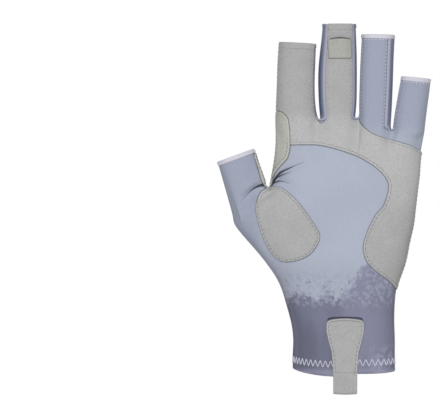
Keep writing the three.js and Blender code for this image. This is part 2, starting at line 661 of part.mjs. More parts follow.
// The finger loop: a band of suede across the middle finger's palm face that stands off it between its ends.
const middlePalm = fingers[1].map((ring) => ring.slice(0, FACE_STEPS + 1));
const middleShares = ringShares(MIDDLE_LENGTH);
const ringAt = (height) => {
  const share = height / MIDDLE_LENGTH;
  const next = middleShares.findIndex((value) => value >= share);
  return next - 1 + (share - middleShares[next - 1]) / (middleShares[next] - middleShares[next - 1]);
};
const LOOP_ACROSS = 8;
const loopTop = MIDDLE_LENGTH - LOOP_SETBACK;
const loopLayer = (distance) =>
  [loopTop - LOOP_BAND, loopTop - LOOP_BAND / 2, loopTop].map((height) =>
    Array.from({ length: LOOP_ACROSS + 1 }, (_, i) => {
      const { place, facing } = onGrid(middlePalm, ringAt(height), (FACE_STEPS * i) / LOOP_ACROSS);
      const rise = LOOP_RISE * Math.sin((Math.PI * i) / LOOP_ACROSS) ** 0.7;
      return place.addScaledVector(facing, 2 * GAP + SUEDE + distance + rise);
    }),
  );
const loop = slab(loopLayer(SUEDE), loopLayer(0));

const lycra = new THREE.MeshStandardMaterial({ color: "#aab2c4", roughness: 0.75, metalness: 0 });
const printed = new THREE.MeshStandardMaterial({ color: "#b8bcc9", roughness: 0.75, metalness: 0 });
const greySuede = new THREE.MeshStandardMaterial({ color: "#a8a8a6", roughness: 0.95, metalness: 0 });
const beigeSuede = new THREE.MeshStandardMaterial({ color: "#b2b3ab", roughness: 0.95, metalness: 0 });
const tape = new THREE.MeshStandardMaterial({ color: "#d5d3dc", roughness: 0.8, metalness: 0 });
const cuffCloth = new THREE.MeshStandardMaterial({ color: "#9c9cb4", roughness: 0.75, metalness: 0 });

const glove = new THREE.Group();

function place(name, made, material) {
  const { numProp, vertProperties, triVerts } = made.getMesh();
  const geometry = new THREE.BufferGeometry();
  const vertices = new Float32Array((vertProperties.length / numProp) * 3);
  for (let i = 0; i * numProp < vertProperties.length; i++) {
    vertices.set(vertProperties.subarray(i * numProp, i * numProp + 3), 3 * i);
  }
  geometry.setAttribute("position", new THREE.BufferAttribute(vertices, 3));
  geometry.setIndex(new THREE.BufferAttribute(triVerts, 1));
  geometry.computeVertexNormals();
  const mesh = new THREE.Mesh(geometry, material);
  mesh.name = name;
  glove.add(mesh);
}

for (const [name, made] of panels) place(name, made, name === "back_panel" ? printed : lycra);
place("suede_palm", suede, greySuede);
place("suede_thenar", thenar, greySuede);
place("suede_thumb_web", web, beigeSuede);
place("finger_pull_loop", loop, beigeSuede);
place("wrist_pull_tab", tab, beigeSuede);
for (const [name, made] of bindings) place(name, made, tape);
place("cuff_hem", hem, cuffCloth);

export default glove;
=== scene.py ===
import bpy
import numpy as np
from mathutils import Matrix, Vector


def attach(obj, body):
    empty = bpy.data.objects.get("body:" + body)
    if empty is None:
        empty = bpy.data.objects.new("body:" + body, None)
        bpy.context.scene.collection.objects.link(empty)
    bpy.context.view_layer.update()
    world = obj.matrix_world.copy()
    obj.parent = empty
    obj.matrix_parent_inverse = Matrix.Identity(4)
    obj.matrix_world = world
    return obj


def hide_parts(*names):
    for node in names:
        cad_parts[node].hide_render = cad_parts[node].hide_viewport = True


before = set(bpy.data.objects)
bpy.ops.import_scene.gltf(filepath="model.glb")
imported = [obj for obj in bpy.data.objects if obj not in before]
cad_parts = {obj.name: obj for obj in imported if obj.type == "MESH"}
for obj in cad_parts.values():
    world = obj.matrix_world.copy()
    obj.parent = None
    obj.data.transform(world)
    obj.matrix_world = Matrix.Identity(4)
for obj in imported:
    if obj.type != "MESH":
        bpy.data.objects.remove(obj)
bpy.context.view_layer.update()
scene = bpy.context.scene
scene.view_settings.view_transform = "Standard"

# The stretch-cloth shell: a palm panel, a back panel and three narrow strips between the fingers, cut from
# knitted nylon with elastane and overlocked together inside out, so that every seam lies in a small groove.
# Its form is the hand in it: rows of sections up the hand, then a tube for each finger and the thumb.
MM = 0.001
HAND_BREADTH = 91
WRIST_BREADTH = 64
GLOVE_LENGTH = 158
PALM_DEPTH = 34
WRIST_DEPTH = 43
KNUCKLE_DEPTH = 20.5
CROTCH_WIDTHS = {"index": (0, 1), "middle": (1, 2), "ring": (2, 0.9), "little": (0.9, 0)}
FINGER_CURL = 5
RIM_SLANT = 0.3
BINDING_HEIGHT = 3
HEM_HEIGHT = 10.5
ROUNDNESS = 2.3
CLOTH = 1

HAND_ROWS = np.array([
    # thumb up, little up, thumb side, little side, wrist, depth, reach, spread, valley
    [0, 0, -0.498, 0.505, 1, 1, 0.94, 0, 0],
    [HEM_HEIGHT / GLOVE_LENGTH, HEM_HEIGHT / GLOVE_LENGTH, -0.498, 0.502, 1, 0.99, 0.94, 0, 0],
    [0.127, 0.127, -0.494, 0.5, 1, 0.97, 0.94, 0, 0],
    [0.203, 0.203, -0.495, 0.474, 0.9, 0.96, 0.94, 0, 0],
    [0.278, 0.278, -0.512, 0.455, 0.75, 0.96, 0.94, 0, 0],
    [0.354, 0.354, -0.522, 0.438, 0.5, 0.97, 0.94, 0, 0],
    [0.43, 0.43, -0.57, 0.453, 0.25, 0.99, 0.94, 0.05, 0],
    [0.506, 0.51, -0.656, 0.463, 0.1, 1, 0.94, 0.1, 0],
    [0.58, 0.589, -0.742, 0.475, 0, 0.99, 0.92, 0.2, 0],
    [0.615, 0.639, -0.699, 0.484, 0, 0.97, 0.85, 0.3, 0],
    [0.648, 0.69, -0.641, 0.494, 0, 0.94, 0.82, 0.4, 0],
    [0.682, 0.741, -0.583, 0.505, 0, 0.91, 0.85, 0.5, 0],
    [0.714, 0.791, -0.528, 0.516, 0, 0.88, 0.93, 0.6, 0],
    [0.782, 0.842, -0.487, 0.521, 0, 0.84, 0.94, 0.7, 0.08],
    [0.857, 0.889, -0.465, 0.534, 0, 0.78, 0.94, 0.85, 0.25],
    [0.925, 0.93, -0.457, 0.548, 0, 0.71, 0.94, 0.95, 0.55],
])
THUMB_ROWS = slice(8, 13)

FINGERS = {
    # length, width, depth, left, right, left up, right up, lean, rim, then the seams of palm and back face
    "index": (48.5, 22.4, 17, -0.458, -0.168, 0.994, 1.009, 0.013, -0.055, (-0.94, 0.87, -0.94, 0.93)),
    "middle": (58.9, 20.6, 17, -0.168, 0.093, 1.009, 1.013, 0.008, 0, (-0.6, 0.75, -0.86, 0.86)),
    "ring": (55.6, 20.4, 17, 0.093, 0.332, 1.013, 0.965, 0.037, -0.02, (-0.95, 0.6, -0.55, 0.95)),
    "little": (33.7, 18, 14.8, 0.332, 0.554, 0.965, 0.949, 0.145, -0.1, (-0.94, 0.92, -0.5, 0.94)),
}
THUMB = {"length": 35.6, "width": 24.3, "depth": 18, "lean": 0.312, "rim": 0.35, "curl": 6}
THUMB_SEAMS = (-0.92, 0.85, -0.92, 0.92)

# Mounds of the palm: across and up as shares of breadth and length, radius as a share of breadth, height.
MOUNDS = [(-0.39, 0.5, 0.26, 4.5), (0.27, 0.46, 0.24, 3), (0.06, 0.62, 0.24, -2.5)]


def mix(low, high, share):
    """From low to high by a share."""
    return low + (high - low) * share


def seam_angle(share):
    """The angle at which a section reaches a share of its half width."""
    return np.arccos(np.sign(share) * np.abs(share) ** (ROUNDNESS / 2))


def section(angle, half_width, half_depth):
    """A squarish ellipse: cosine and sine keep their signs and are raised to two over the roundness."""
    power = 2 / ROUNDNESS
    across = np.sign(np.cos(angle)) * np.abs(np.cos(angle)) ** power
    forward = np.sign(np.sin(angle)) * np.abs(np.sin(angle)) ** power
    return half_width * across, -half_depth * forward


def tube_angles(palm_left, palm_right, back_left, back_right):
    """Sixteen angles: four equal steps each over the palm face, right side, back face and left side."""
    start = seam_angle(palm_left)
    ends = [seam_angle(palm_right), -seam_angle(back_right), -seam_angle(back_left), start - 2 * np.pi]
    corners = np.array([start, *ends])
    return (corners[:-1, None] + np.diff(corners)[:, None] * np.arange(4) / 4).ravel()


def ring_shares(length):
    """Where the rings of a tube lie, as shares of its length; the last two bound the binding."""
    return np.array([0, 0.16, 0.48, 0.78, 1 - BINDING_HEIGHT / length, 1])


def finger_rings(name):
    """Rings of a finger: the width mixes with the share squared, and the curl grows with it too."""
    length, width, depth, left, right, left_up, right_up, lean, rim, seams = FINGERS[name]
    left = HAND_BREADTH * left + CROTCH_WIDTHS[name][0] / 2
    right = HAND_BREADTH * right - CROTCH_WIDTHS[name][1] / 2
    share = ring_shares(length)[:, None]
    half_depth = mix(KNUCKLE_DEPTH, depth, share**0.6) / 2
    x, y = section(tube_angles(*seams), mix(right - left, width, share**2) / 2, half_depth)
    slope = mix(GLOVE_LENGTH * (right_up - left_up) / (right - left), rim, share)
    slant = RIM_SLANT * share * y / half_depth
    height = GLOVE_LENGTH * (left_up + right_up) / 2 + length * share + slope * x + slant
    return np.stack([(left + right) / 2 + lean * length * share + x, y - FINGER_CURL * share**2, height], -1)


def relief(x, z):
    """How far the mounds raise the palm: each is a bell over the distance from its middle."""
    rise = np.zeros_like(x)
    for across, up, radius, height in MOUNDS:
        away = np.hypot(x - across * HAND_BREADTH, z - up * GLOVE_LENGTH) / (radius * HAND_BREADTH)
        rise += height * np.exp(-(away**2))
    return rise


fingers = {name: finger_rings(name) for name in FINGERS}

# The index finger has a waist on the middle finger's side, and the middle finger bulges to both sides.
for name, side, pulls in [
    ("index", 1, (0, -1.8, -2.4, -1.5, -0.7, -0.5)), ("middle", -1, (0, 0.9, 1.4, 0.5, -0.2, -0.2)),
    ("middle", 1, (0, 0.7, 0.8, 0.8, 0.7, 0.6)),
]:
    rings = fingers[name]
    middle = rings[..., 0].mean(1, keepdims=True)
    share = np.clip(side * (rings[..., 0] - middle) / np.ptp(rings[..., 0], 1)[:, None] * 2, 0, 1)
    rings[..., 0] += side * np.array(pulls)[:, None] * share
top_palm = np.concatenate([rings[0, :5] for rings in fingers.values()])
top_back = np.concatenate([rings[0, 12:7:-1] for rings in fingers.values()])

thumb_up, little_up, thumb_side, little_side, wrist, depth, reach, spread, valley = HAND_ROWS.T[..., None]
breadth = mix(HAND_BREADTH, WRIST_BREADTH, wrist)
half_depth = mix(PALM_DEPTH, WRIST_DEPTH, wrist) * depth / 2
side_left, side_right = thumb_side * breadth, little_side * breadth
row_number = np.arange(len(HAND_ROWS))[:, None]
thumb_hole = (row_number > THUMB_ROWS.start) & (row_number < THUMB_ROWS.stop - 1)
left_end = np.where(thumb_hole, -reach, -1)


def hand_points(share, y):
    """Points of all rows from the share of the half breadth, with the heights on a slant across the row."""
    x = mix(side_left, side_right, (share - left_end) / (1 - left_end))
    slant = (x - side_left) / (side_right - side_left)
    return np.stack([x, y + 0 * x, GLOVE_LENGTH * mix(thumb_up, little_up, slant)], -1)


def hand_face(top, side):
    """The palm (side -1) or back (side 1) of all rows, which drift towards the fingers' own columns."""
    shares = (top[:, 0] - top[0, 0]) / (top[-1, 0] - top[0, 0])
    position = mix(-reach, 0.94, mix(np.linspace(0, 1, len(top)), shares, spread))
    round_y = side * half_depth * (1 - np.abs(position) ** ROUNDNESS) ** (1 / ROUNDNESS)
    made = hand_points(position, mix(round_y, top[:, 1], valley))
    if side < 0:
        made[..., 1] -= relief(made[..., 0], made[..., 2])
    return np.concatenate([made, top[None]])


def hand_side(end, seam, top):
    """Three points of each row round the hand's edge, from palm to back."""
    start = seam_angle(end * seam)
    angle = mix(start, 2 * np.pi * (end < 0) - start, np.array([0.25, 0.5, 0.75]))
    share, y = section(angle, 1, half_depth)
    return np.concatenate([hand_points(share, y), top[None]])


palm = hand_face(top_palm, -1)
back = hand_face(top_back, 1)
little_edge = hand_side(1, 0.94, fingers["little"][0, 5:8])
thumb_edge = hand_side(-1, reach, fingers["index"][0, :12:-1])

thumb_base = np.concatenate([
    palm[THUMB_ROWS, 0],
    thumb_edge[THUMB_ROWS.stop - 1],
    back[THUMB_ROWS, 0][::-1],
    thumb_edge[THUMB_ROWS.start, ::-1],
])
thumb_way = np.array([-np.sin(THUMB["lean"]), 0, np.cos(THUMB["lean"])])
thumb_tip = thumb_base.mean(0) + THUMB["length"] * thumb_way
across, forward = section(tube_angles(*THUMB_SEAMS), THUMB["width"] / 2, THUMB["depth"] / 2)
thumb_rim = thumb_tip + np.stack([
    across * np.cos(THUMB["rim"]),
    forward - THUMB["curl"],
    across * np.sin(THUMB["rim"]) + RIM_SLANT * forward * 2 / THUMB["depth"],
], -1)
thumb = mix(thumb_base, thumb_rim, ring_shares(THUMB["length"])[:, None, None])
for ring, corner_pull, middle_pull in [(1, 2.2, 4.8), (2, 1.5, 3.6), (3, 0.6, 1.6)]:
    thumb[ring, [4, 8], 0] -= corner_pull
    thumb[ring, 5:8] -= (middle_pull, 0, 0.5)

# Each grid of points has the panel of every strip between its columns.
PALM, BACK, INDEX_MIDDLE, MIDDLE_RING, RING_LITTLE = range(5)
PALM_TO_BACK = [PALM, PALM, BACK, BACK]
BACK_TO_PALM = [BACK, BACK, PALM, PALM]
TUBE_SIDES = {
    "index": ([INDEX_MIDDLE] * 4, BACK_TO_PALM),
    "middle": ([MIDDLE_RING] * 4, [INDEX_MIDDLE] * 4),
    "ring": ([RING_LITTLE] * 4, [MIDDLE_RING] * 4),
    "little": (PALM_TO_BACK, [RING_LITTLE] * 4),
}
little_strip = np.concatenate([palm[:, -1:], little_edge, back[:, -1:]], 1)
thumb_strip = np.concatenate([back[:, :1], thumb_edge[:, ::-1], palm[:, :1]], 1)
grids = [
    (palm, [PALM] * (palm.shape[1] - 1)),
    (little_strip, PALM_TO_BACK),
    (back[:, ::-1], [BACK] * (back.shape[1] - 1)),
    (thumb_strip[: THUMB_ROWS.start + 1], BACK_TO_PALM),
    (thumb_strip[THUMB_ROWS.stop - 1 :], BACK_TO_PALM),
    (thumb[:, [*range(16), 0]], [PALM] * 4 + PALM_TO_BACK + [BACK] * 4 + BACK_TO_PALM),
]
for name, rings in fingers.items():
    right_side, left_side = TUBE_SIDES[name]
    grids.append((rings[:, [*range(16), 0]], [PALM] * 4 + right_side + [BACK] * 4 + left_side))
for left_name, right_name, panel in [
    ("index", "middle", INDEX_MIDDLE), ("middle", "ring", MIDDLE_RING), ("ring", "little", RING_LITTLE),
]:
    crotch = np.stack([fingers[left_name][0, 4:9], fingers[right_name][0, [0, 15, 14, 13, 12]]], 1)
    grids.append((crotch, [panel]))


def grid_quads(rows, columns):
    """Quads of a grid whose points are numbered row by row, each from its lower left corner round."""
    corner = (np.arange(rows - 1)[:, None] * columns + np.arange(columns - 1)).reshape(-1, 1)
    return corner + np.array([0, 1, columns + 1, columns])


def welded(points, faces):
    """Points that lie within a thousandth of a millimetre of each other become one."""
    _, first, same = np.unique(np.round(points, 3), axis=0, return_index=True, return_inverse=True)
    return points[first], same.ravel()[faces]


def stack_grids(parts):
    """All grids as one list of points, one of quads, and the panel and the grid of each quad."""
    points = np.concatenate([grid.reshape(-1, 3) for grid, _ in parts])
    starts = np.cumsum([0] + [grid.shape[0] * grid.shape[1] for grid, _ in parts])
    quads = [grid_quads(*grid.shape[:2]) + start for (grid, _), start in zip(parts, starts)]
    panels = [np.tile(columns, grid.shape[0] - 1) for grid, columns in parts]
    numbers = [np.full(len(part), number) for number, part in enumerate(quads)]
    return *welded(points, np.concatenate(quads)), np.concatenate(panels), np.concatenate(numbers)


cage, cage_quads, cage_panels, cage_parts = stack_grids(grids)

# The cuff's edge rises a little at both sides and hangs a little in front and behind. Over the palm it
# runs flatter on the little finger's side.
CUFF_RISE, CUFF_HANG, CUFF_REACH = 3, 4, 30
CUFF_FLATTER, CUFF_DROP = 1.8, 3.1
FLATTER_FROM, FLATTER_FADE = -0.15, 0.4
forward = np.abs(cage[:, 1]) / (WRIST_DEPTH / 2)
aside = cage[:, 0] / (WRIST_BREADTH / 2)
flatter = np.clip((aside - FLATTER_FROM) / FLATTER_FADE, 0, 1) * (CUFF_FLATTER - CUFF_DROP * aside**2)
flatter *= np.where(cage[:, 1] < 0, 1, np.clip(1 - forward, 0, 1))
cage[:, 2] += np.clip(1 - cage[:, 2] / CUFF_REACH, 0, 1) * (CUFF_RISE - CUFF_HANG * forward**2 + flatter)


def new_mesh(name, points, *faces):
    """A smooth mesh object of points in millimetres and of arrays of faces with three or four corners."""
    mesh = bpy.data.meshes.new(name)
    mesh.vertices.add(len(points))
    mesh.vertices.foreach_set("co", (points * MM).astype(np.float32).ravel())
    corners = np.concatenate([part.ravel() for part in faces]).astype(np.int32)
    sizes = np.concatenate([np.full(len(part), part.shape[1]) for part in faces])
    mesh.loops.add(len(corners))
    mesh.loops.foreach_set("vertex_index", corners)
    mesh.polygons.add(len(sizes))
    mesh.polygons.foreach_set("loop_start", (np.cumsum(sizes) - sizes).astype(np.int32))
    mesh.update(calc_edges=True)
    mesh.shade_smooth()
    piece = bpy.data.objects.new(name, mesh)
    scene.collection.objects.link(piece)
    return piece


def subdivided(points, quads, levels):
    """The smooth surface of a cage, with the cage's own points first and each quad's parts in order."""
    rough = new_mesh("form", points, quads)
    rounding = rough.modifiers.new("Rounding", "SUBSURF")
    rounding.levels = rounding.render_levels = levels
    smooth = rough.evaluated_get(bpy.context.evaluated_depsgraph_get()).to_mesh()
    fine = np.empty(len(smooth.vertices) * 3)
    smooth.vertices.foreach_get("co", fine)
    fine_quads = np.empty(len(smooth.loops), np.int32)
    smooth.loops.foreach_get("vertex_index", fine_quads)
    mesh = rough.data
    bpy.data.objects.remove(rough)
    bpy.data.meshes.remove(mesh)
    return fine.reshape(-1, 3) / MM, fine_quads.reshape(-1, 4)


# The smooth surface passes through the cage's points once they are moved out by what it falls short.
control = cage.copy()
for _ in range(3):
    control += cage - subdivided(control, cage_quads, 1)[0][: len(cage)]
FINE_LEVELS = 3
skin, skin_quads = subdivided(control, cage_quads, FINE_LEVELS)
skin_panels = np.repeat(cage_panels, 4**FINE_LEVELS)


def facing(points, faces):
    """Outward directions at the points: the faces' own, weighted by their areas, added up at each."""
    first = points[faces[:, 2]] - points[faces[:, 0]]
    second = points[faces[:, -1]] - points[faces[:, 1]]
    shares = np.repeat(np.cross(first, second), faces.shape[1], axis=0)
    total = np.stack([np.bincount(faces.ravel(), column, len(points)) for column in shares.T], -1)
    return total / np.maximum(np.linalg.norm(total, axis=1, keepdims=True), 1e-12)


def edges_between(faces, labels):
    """Edges that part two labels, and edges that only one face has, each as pairs of points."""
    pairs = np.stack([faces, np.roll(faces, -1, 1)], -1).reshape(-1, 2)
    owner = np.repeat(labels, faces.shape[1])
    key = np.sort(pairs, 1)
    order = np.lexsort((key[:, 1], key[:, 0]))
    key, owner, pairs = key[order], owner[order], pairs[order]
    same = (key[1:] == key[:-1]).all(1)
    parting = same & (owner[1:] != owner[:-1])
    single = ~(np.append(same, False) | np.append(False, same))
    return key[1:][parting], pairs[single]


def nearest_rows(at, table, chunk):
    """The row of a table nearest to each point: the least of its square less twice the product."""
    squares = (table**2).sum(1)
    parts = np.array_split(at, 1 + len(at) // chunk)
    return np.concatenate([(squares - 2 * part @ table.T).argmin(1) for part in parts])


def edge_distance(points, starts, ends):
    """Distance of each point from the edge whose middle is nearest."""
    middles = ((starts + ends) / 2).astype(np.float32)
    found = nearest_rows(points.astype(np.float32), middles, 4000)
    start, along = starts[found], (ends - starts)[found]
    share = ((points - start) * along).sum(1) / np.maximum((along**2).sum(1), 1e-12)
    return np.linalg.norm(points - start - np.clip(share, 0, 1)[:, None] * along, axis=1)


seam_edges, open_edges = edges_between(skin_quads, skin_panels)
seam_distance = edge_distance(skin, *skin[seam_edges].transpose(1, 0, 2))
skin_facing = facing(skin, skin_quads)

# Folds where the cloth bunches at the thumb's crotch: a side of the hand, then points along each fold, across
# and up, with its half width there and its depth below the surface, or its height above as a minus.
FOLDS = [
    (-1, [
        (-48, 117.2, 0.8, 0), (-51, 117.8, 1.1, 0.9), (-53.5, 117.1, 1.3, 1.6), (-56.5, 115.6, 1.4, 1.8),
        (-59.3, 113.1, 1.4, 1.6), (-62, 110.3, 1.7, 0.9), (-64.5, 107, 2.1, 0),
    ]),
    (-1, [
        (-52, 121, 1.5, 0), (-55, 119.6, 1.9, -0.8), (-58.5, 117.2, 2.1, -1.1), (-62, 114, 2.4, -0.7),
        (-66, 110, 2.6, 0),
    ]),
    (-1, [
        (-45.6, 117.9, 0.9, 0.6), (-43.4, 121, 1.2, 1.6), (-40.6, 124.3, 1.4, 2), (-37.8, 126.4, 1.6, 1.9),
        (-33.9, 128.3, 1.9, 1.6), (-27.4, 131.5, 2.6, 1), (-18.8, 135, 3.4, 0),
    ]),
    (-1, [
        (-44.5, 120.5, 0.8, 0.4), (-42, 122.2, 1, 1.1), (-39.2, 123.7, 1.2, 1.2), (-36.5, 124.7, 1.2, 1),
        (-33, 125.6, 1.4, 0),
    ]),
    (-1, [
        (-44.3, 118.8, 0.8, 0.5), (-42, 119.9, 1.2, 1.4), (-39, 120.3, 1.5, 1.5), (-36, 119.5, 1.8, 1.2),
        (-33.2, 118, 2.2, 0.7), (-29.5, 115.5, 2.6, 0),
    ]),
    (-1, [(-42, 121.3, 0.9, -0.4), (-37, 122.3, 1.5, -0.8), (-31, 122.6, 2.3, -0.6), (-25, 123.5, 3, 0)]),
    (-1, [(-40, 128.5, 1.4, -0.3), (-33, 131.5, 2.2, -0.7), (-25, 135, 3, -0.4), (-17, 138.5, 3.4, 0)]),
    (1, [(-51, 118.5, 0.9, 1.2), (-48, 117.6, 1.2, 1.3), (-44.5, 116.2, 1.5, 0)]),
    (1, [(-51, 112.8, 0.9, 1.1), (-48, 111.4, 1.3, 1.2), (-44.5, 108.8, 1.6, 0)]),
    (1, [(-52, 105.2, 1.1, 0.8), (-48, 102.8, 1.7, 0.9), (-42, 99.5, 2.2, 0)]),
    (1, [(-30, 108, 1.2, 0), (-20, 109.4, 1.6, 0.6), (-8, 109.2, 1.7, 0.5), (2, 107.6, 1.4, 0)]),
    (1, [(2, 143, 1.6, 0), (14, 147, 2, 0.8), (26, 149, 2, 0.8), (36, 148.5, 1.6, 0)]),
    (1, [(8, 137, 1.8, 0), (22, 140.5, 2.2, 0.7), (36, 143, 2, 0.6), (45, 143.5, 1.6, 0)]),
]
FOLD_TURN, FOLD_FADE = 2.5, 0.25


def smooth_line(corners, closed=False, steps=6):
    """A curve through its corners whose tangent at each is half the way between its neighbours."""
    corners = np.asarray(corners, float)
    around = np.concatenate([corners[-1:], corners, corners[:2]])
    if not closed:
        around = np.concatenate([2 * corners[:1] - corners[1:2], corners, 2 * corners[-1:] - corners[-2:-1]])
    p0, p1, p2, p3 = (around[i : len(around) - 3 + i, None] for i in range(4))
    t = np.linspace(0, 1, steps, endpoint=False)[:, None]
    curve = p1 + t * ((p2 - p0) + t * ((2 * p0 - 5 * p1 + 4 * p2 - p3) + t * (3 * (p1 - p2) + p3 - p0))) / 2
    curve = curve.reshape(-1, corners.shape[1])
    return curve if closed else np.concatenate([curve, corners[-1:]])


def fold_depth(points, outward):
    """Depth of the folds: a bell across each path, with the width and depth of the path's nearest place."""
    total = np.zeros(len(points))
    for side, corners in FOLDS:
        path = smooth_line(corners, steps=8)
        away = np.linalg.norm(points[:, None, [0, 2]] - path[:, :2], axis=-1)
        nearest = away.argmin(1)
        width, depth = path[nearest, 2:].T
        on_side = np.clip(side * outward[:, 1] * FOLD_TURN + FOLD_FADE, 0, 1)
        total += on_side * depth * np.exp(-((away.min(1) / width) ** 2))
    return total


bare_skin, bare_facing = skin.copy(), skin_facing
GROOVE_DEPTH, GROOVE_WIDTH = 0.35, 0.55
PUFF_HEIGHT, PUFF_PLACE, PUFF_WIDTH = 0.18, 1.9, 1.1
SLACK = 0.16
groove = GROOVE_DEPTH * np.exp(-((seam_distance / GROOVE_WIDTH) ** 2))
puff = PUFF_HEIGHT * np.exp(-(((seam_distance - PUFF_PLACE) / PUFF_WIDTH) ** 2))
across, _, up = skin.T
slack = SLACK * np.sin(up / 7.5 + 1.7 * np.sin(across / 13)) * np.sin(across / 9 + up / 31)
skin += (puff - groove + slack - fold_depth(skin, skin_facing))[:, None] * skin_facing
skin_facing = facing(skin, skin_quads)


def split_quads(quads):
    """Quads as twice as many triangles."""
    return np.concatenate([quads[:, [0, 1, 2]], quads[:, [0, 2, 3]]])


def closed_sheet(name, outer, inner, faces):
    """A closed body between two layers of the same points, with a wall along every open edge."""
    under = len(outer)
    edges = edges_between(faces, np.zeros(len(faces)))[1]
    wall = np.stack([edges[:, 1], edges[:, 0], edges[:, 0] + under, edges[:, 1] + under], -1)
    return new_mesh(name, np.concatenate([outer, inner]), faces, faces[:, ::-1] + under, wall)


def cut_out(chosen, faces):
    """The chosen faces alone: which points they use, and the faces in the new numbers."""
    used, numbers = np.unique(faces[chosen], return_inverse=True)
    return used, numbers.reshape(-1, faces.shape[1])


def set_value(piece, name, values):
    """A number at each point of a piece, for its material; both layers of a sheet get the same ones."""
    copies = len(piece.data.vertices) // len(values)
    numbers = piece.data.attributes.new(name, "FLOAT", "POINT")
    numbers.data.foreach_set("value", np.tile(values, copies).astype(np.float32))


# The knit itself: nylon and elastane, dyed pale blue-grey and sublimation printed with a darker, splattered
# wrist. It is matt, has a faint sheen where it turns away, and its wales show as fine upright streaks.
def linear(code):
    """An sRGB hex colour as linear light with full opacity."""
    shares = np.array([int(code[i : i + 2], 16) for i in (1, 3, 5)]) / 255
    light = np.where(shares <= 0.04045, shares / 12.92, ((shares + 0.055) / 1.055) ** 2.4)
    return (*light.tolist(), 1.0)


def new_material(name, roughness, sheen, sheen_tint):
    """A cloth-like material: its tree and shader, with the sheen of loose fibres."""
    material = bpy.data.materials.new(name)
    material.use_nodes = True
    shader = material.node_tree.nodes["Principled BSDF"]
    for key, value in [
        ("Roughness", roughness), ("Specular IOR Level", 0.25), ("Sheen Weight", sheen),
        ("Sheen Roughness", 0.45), ("Sheen Tint", linear(sheen_tint)),
    ]:
        shader.inputs[key].default_value = value
    return material, material.node_tree, shader


def add_node(tree, kind, inputs=None, **settings):
    """A node with its settings; each input, by place or name, takes a value, a socket or a node."""
    node = tree.nodes.new("ShaderNode" + kind)
    for key, value in settings.items():
        setattr(node, key, value)
    for place, source in (inputs or {}).items():
        if isinstance(source, bpy.types.Node):
            source = source.outputs[0]
        if isinstance(source, bpy.types.NodeSocket):
            tree.links.new(source, node.inputs[place])
        else:
            node.inputs[place].default_value = source
    return node


def math_node(tree, operation, *values):
    """One operation on up to three values."""
    return add_node(tree, "Math", dict(enumerate(values)), operation=operation)


def blend(tree, share, first, second):
    """From one colour to another by a share; each is a hex code or a node."""
    first, second = (linear(side) if isinstance(side, str) else side for side in (first, second))
    return add_node(tree, "MixRGB", {0: share, 1: first, 2: second})


def shaded(tree, colour, tone):
    """A colour, as a hex code or a node, times a tone."""
    colour = linear(colour) if isinstance(colour, str) else colour
    return add_node(tree, "MixRGB", {0: 1.0, 1: colour, 2: tone}, blend_type="MULTIPLY")


def grained(tree, colour, grain, low, high):
    """A colour times a tone that runs from low to high over most of a noise's range."""
    return shaded(tree, colour, add_node(tree, "MapRange", {0: grain, 1: 0.3, 2: 0.7, 3: low, 4: high}))


def noise(tree, place, scale, detail, roughness=0.5):
    """Noise with so many lumps to a metre."""
    return add_node(tree, "TexNoise", {0: place, "Scale": scale, "Detail": detail, "Roughness": roughness})


def step(tree, value, low, high, to_low=0.0, to_high=1.0):
    """A smooth step of a value from one level to another."""
    inputs = {0: value, 1: low, 2: high, 3: to_low, 4: to_high}
    return add_node(tree, "MapRange", inputs, interpolation_type="SMOOTHSTEP", clamp=True)


def window(tree, part, rise, fall):
    """One between a smooth rise and a smooth fall, each from one place to another in millimetres."""
    rising = step(tree, part, rise[0] * MM, rise[1] * MM)
    falling = step(tree, part, fall[0] * MM, fall[1] * MM, 1.0, 0.0)
    return math_node(tree, "MULTIPLY", rising, falling)


def object_place(tree):
    """Object coordinates, and their three parts."""
    place = add_node(tree, "TexCoord").outputs["Object"]
    return place, add_node(tree, "SeparateXYZ", {0: place}).outputs


def attribute(tree, name):
    """A number that set_value gave the piece."""
    return add_node(tree, "Attribute", attribute_name=name).outputs["Fac"]


def cover(tree, shader, colour, grain, strength, depth):
    """The finished colour, and the grain as a fine relief some way deep in millimetres."""
    bumps = add_node(tree, "Bump", {"Height": grain, "Strength": strength, "Distance": depth * MM})
    tree.links.new(colour.outputs[0], shader.inputs["Base Color"])
    tree.links.new(bumps.outputs[0], shader.inputs["Normal"])


def value_curve(tree, value, spots, top):
    """A free curve through spots of value and height in millimetres, for heights up to a top."""
    low, high = spots[0][0], spots[-1][0]
    level = add_node(tree, "MapRange", {0: value, 1: low * MM, 2: high * MM})
    curve = add_node(tree, "FloatCurve", {1: level})
    line = curve.mapping.curves[0]
    places = [((at - low) / (high - low), height / top) for at, height in spots]
    line.points[0].location, line.points[1].location = places[0], places[-1]
    for place in places[1:-1]:
        line.points.new(*place)
    curve.mapping.update()
    return math_node(tree, "MULTIPLY", curve, top * MM)


BORDER_TOP = 100
LINE_TOP = 250
LINE_WIDEST = 2
LINE_FADE = 1.5
SHADE_LINE_COLOUR = "#2a2b38"
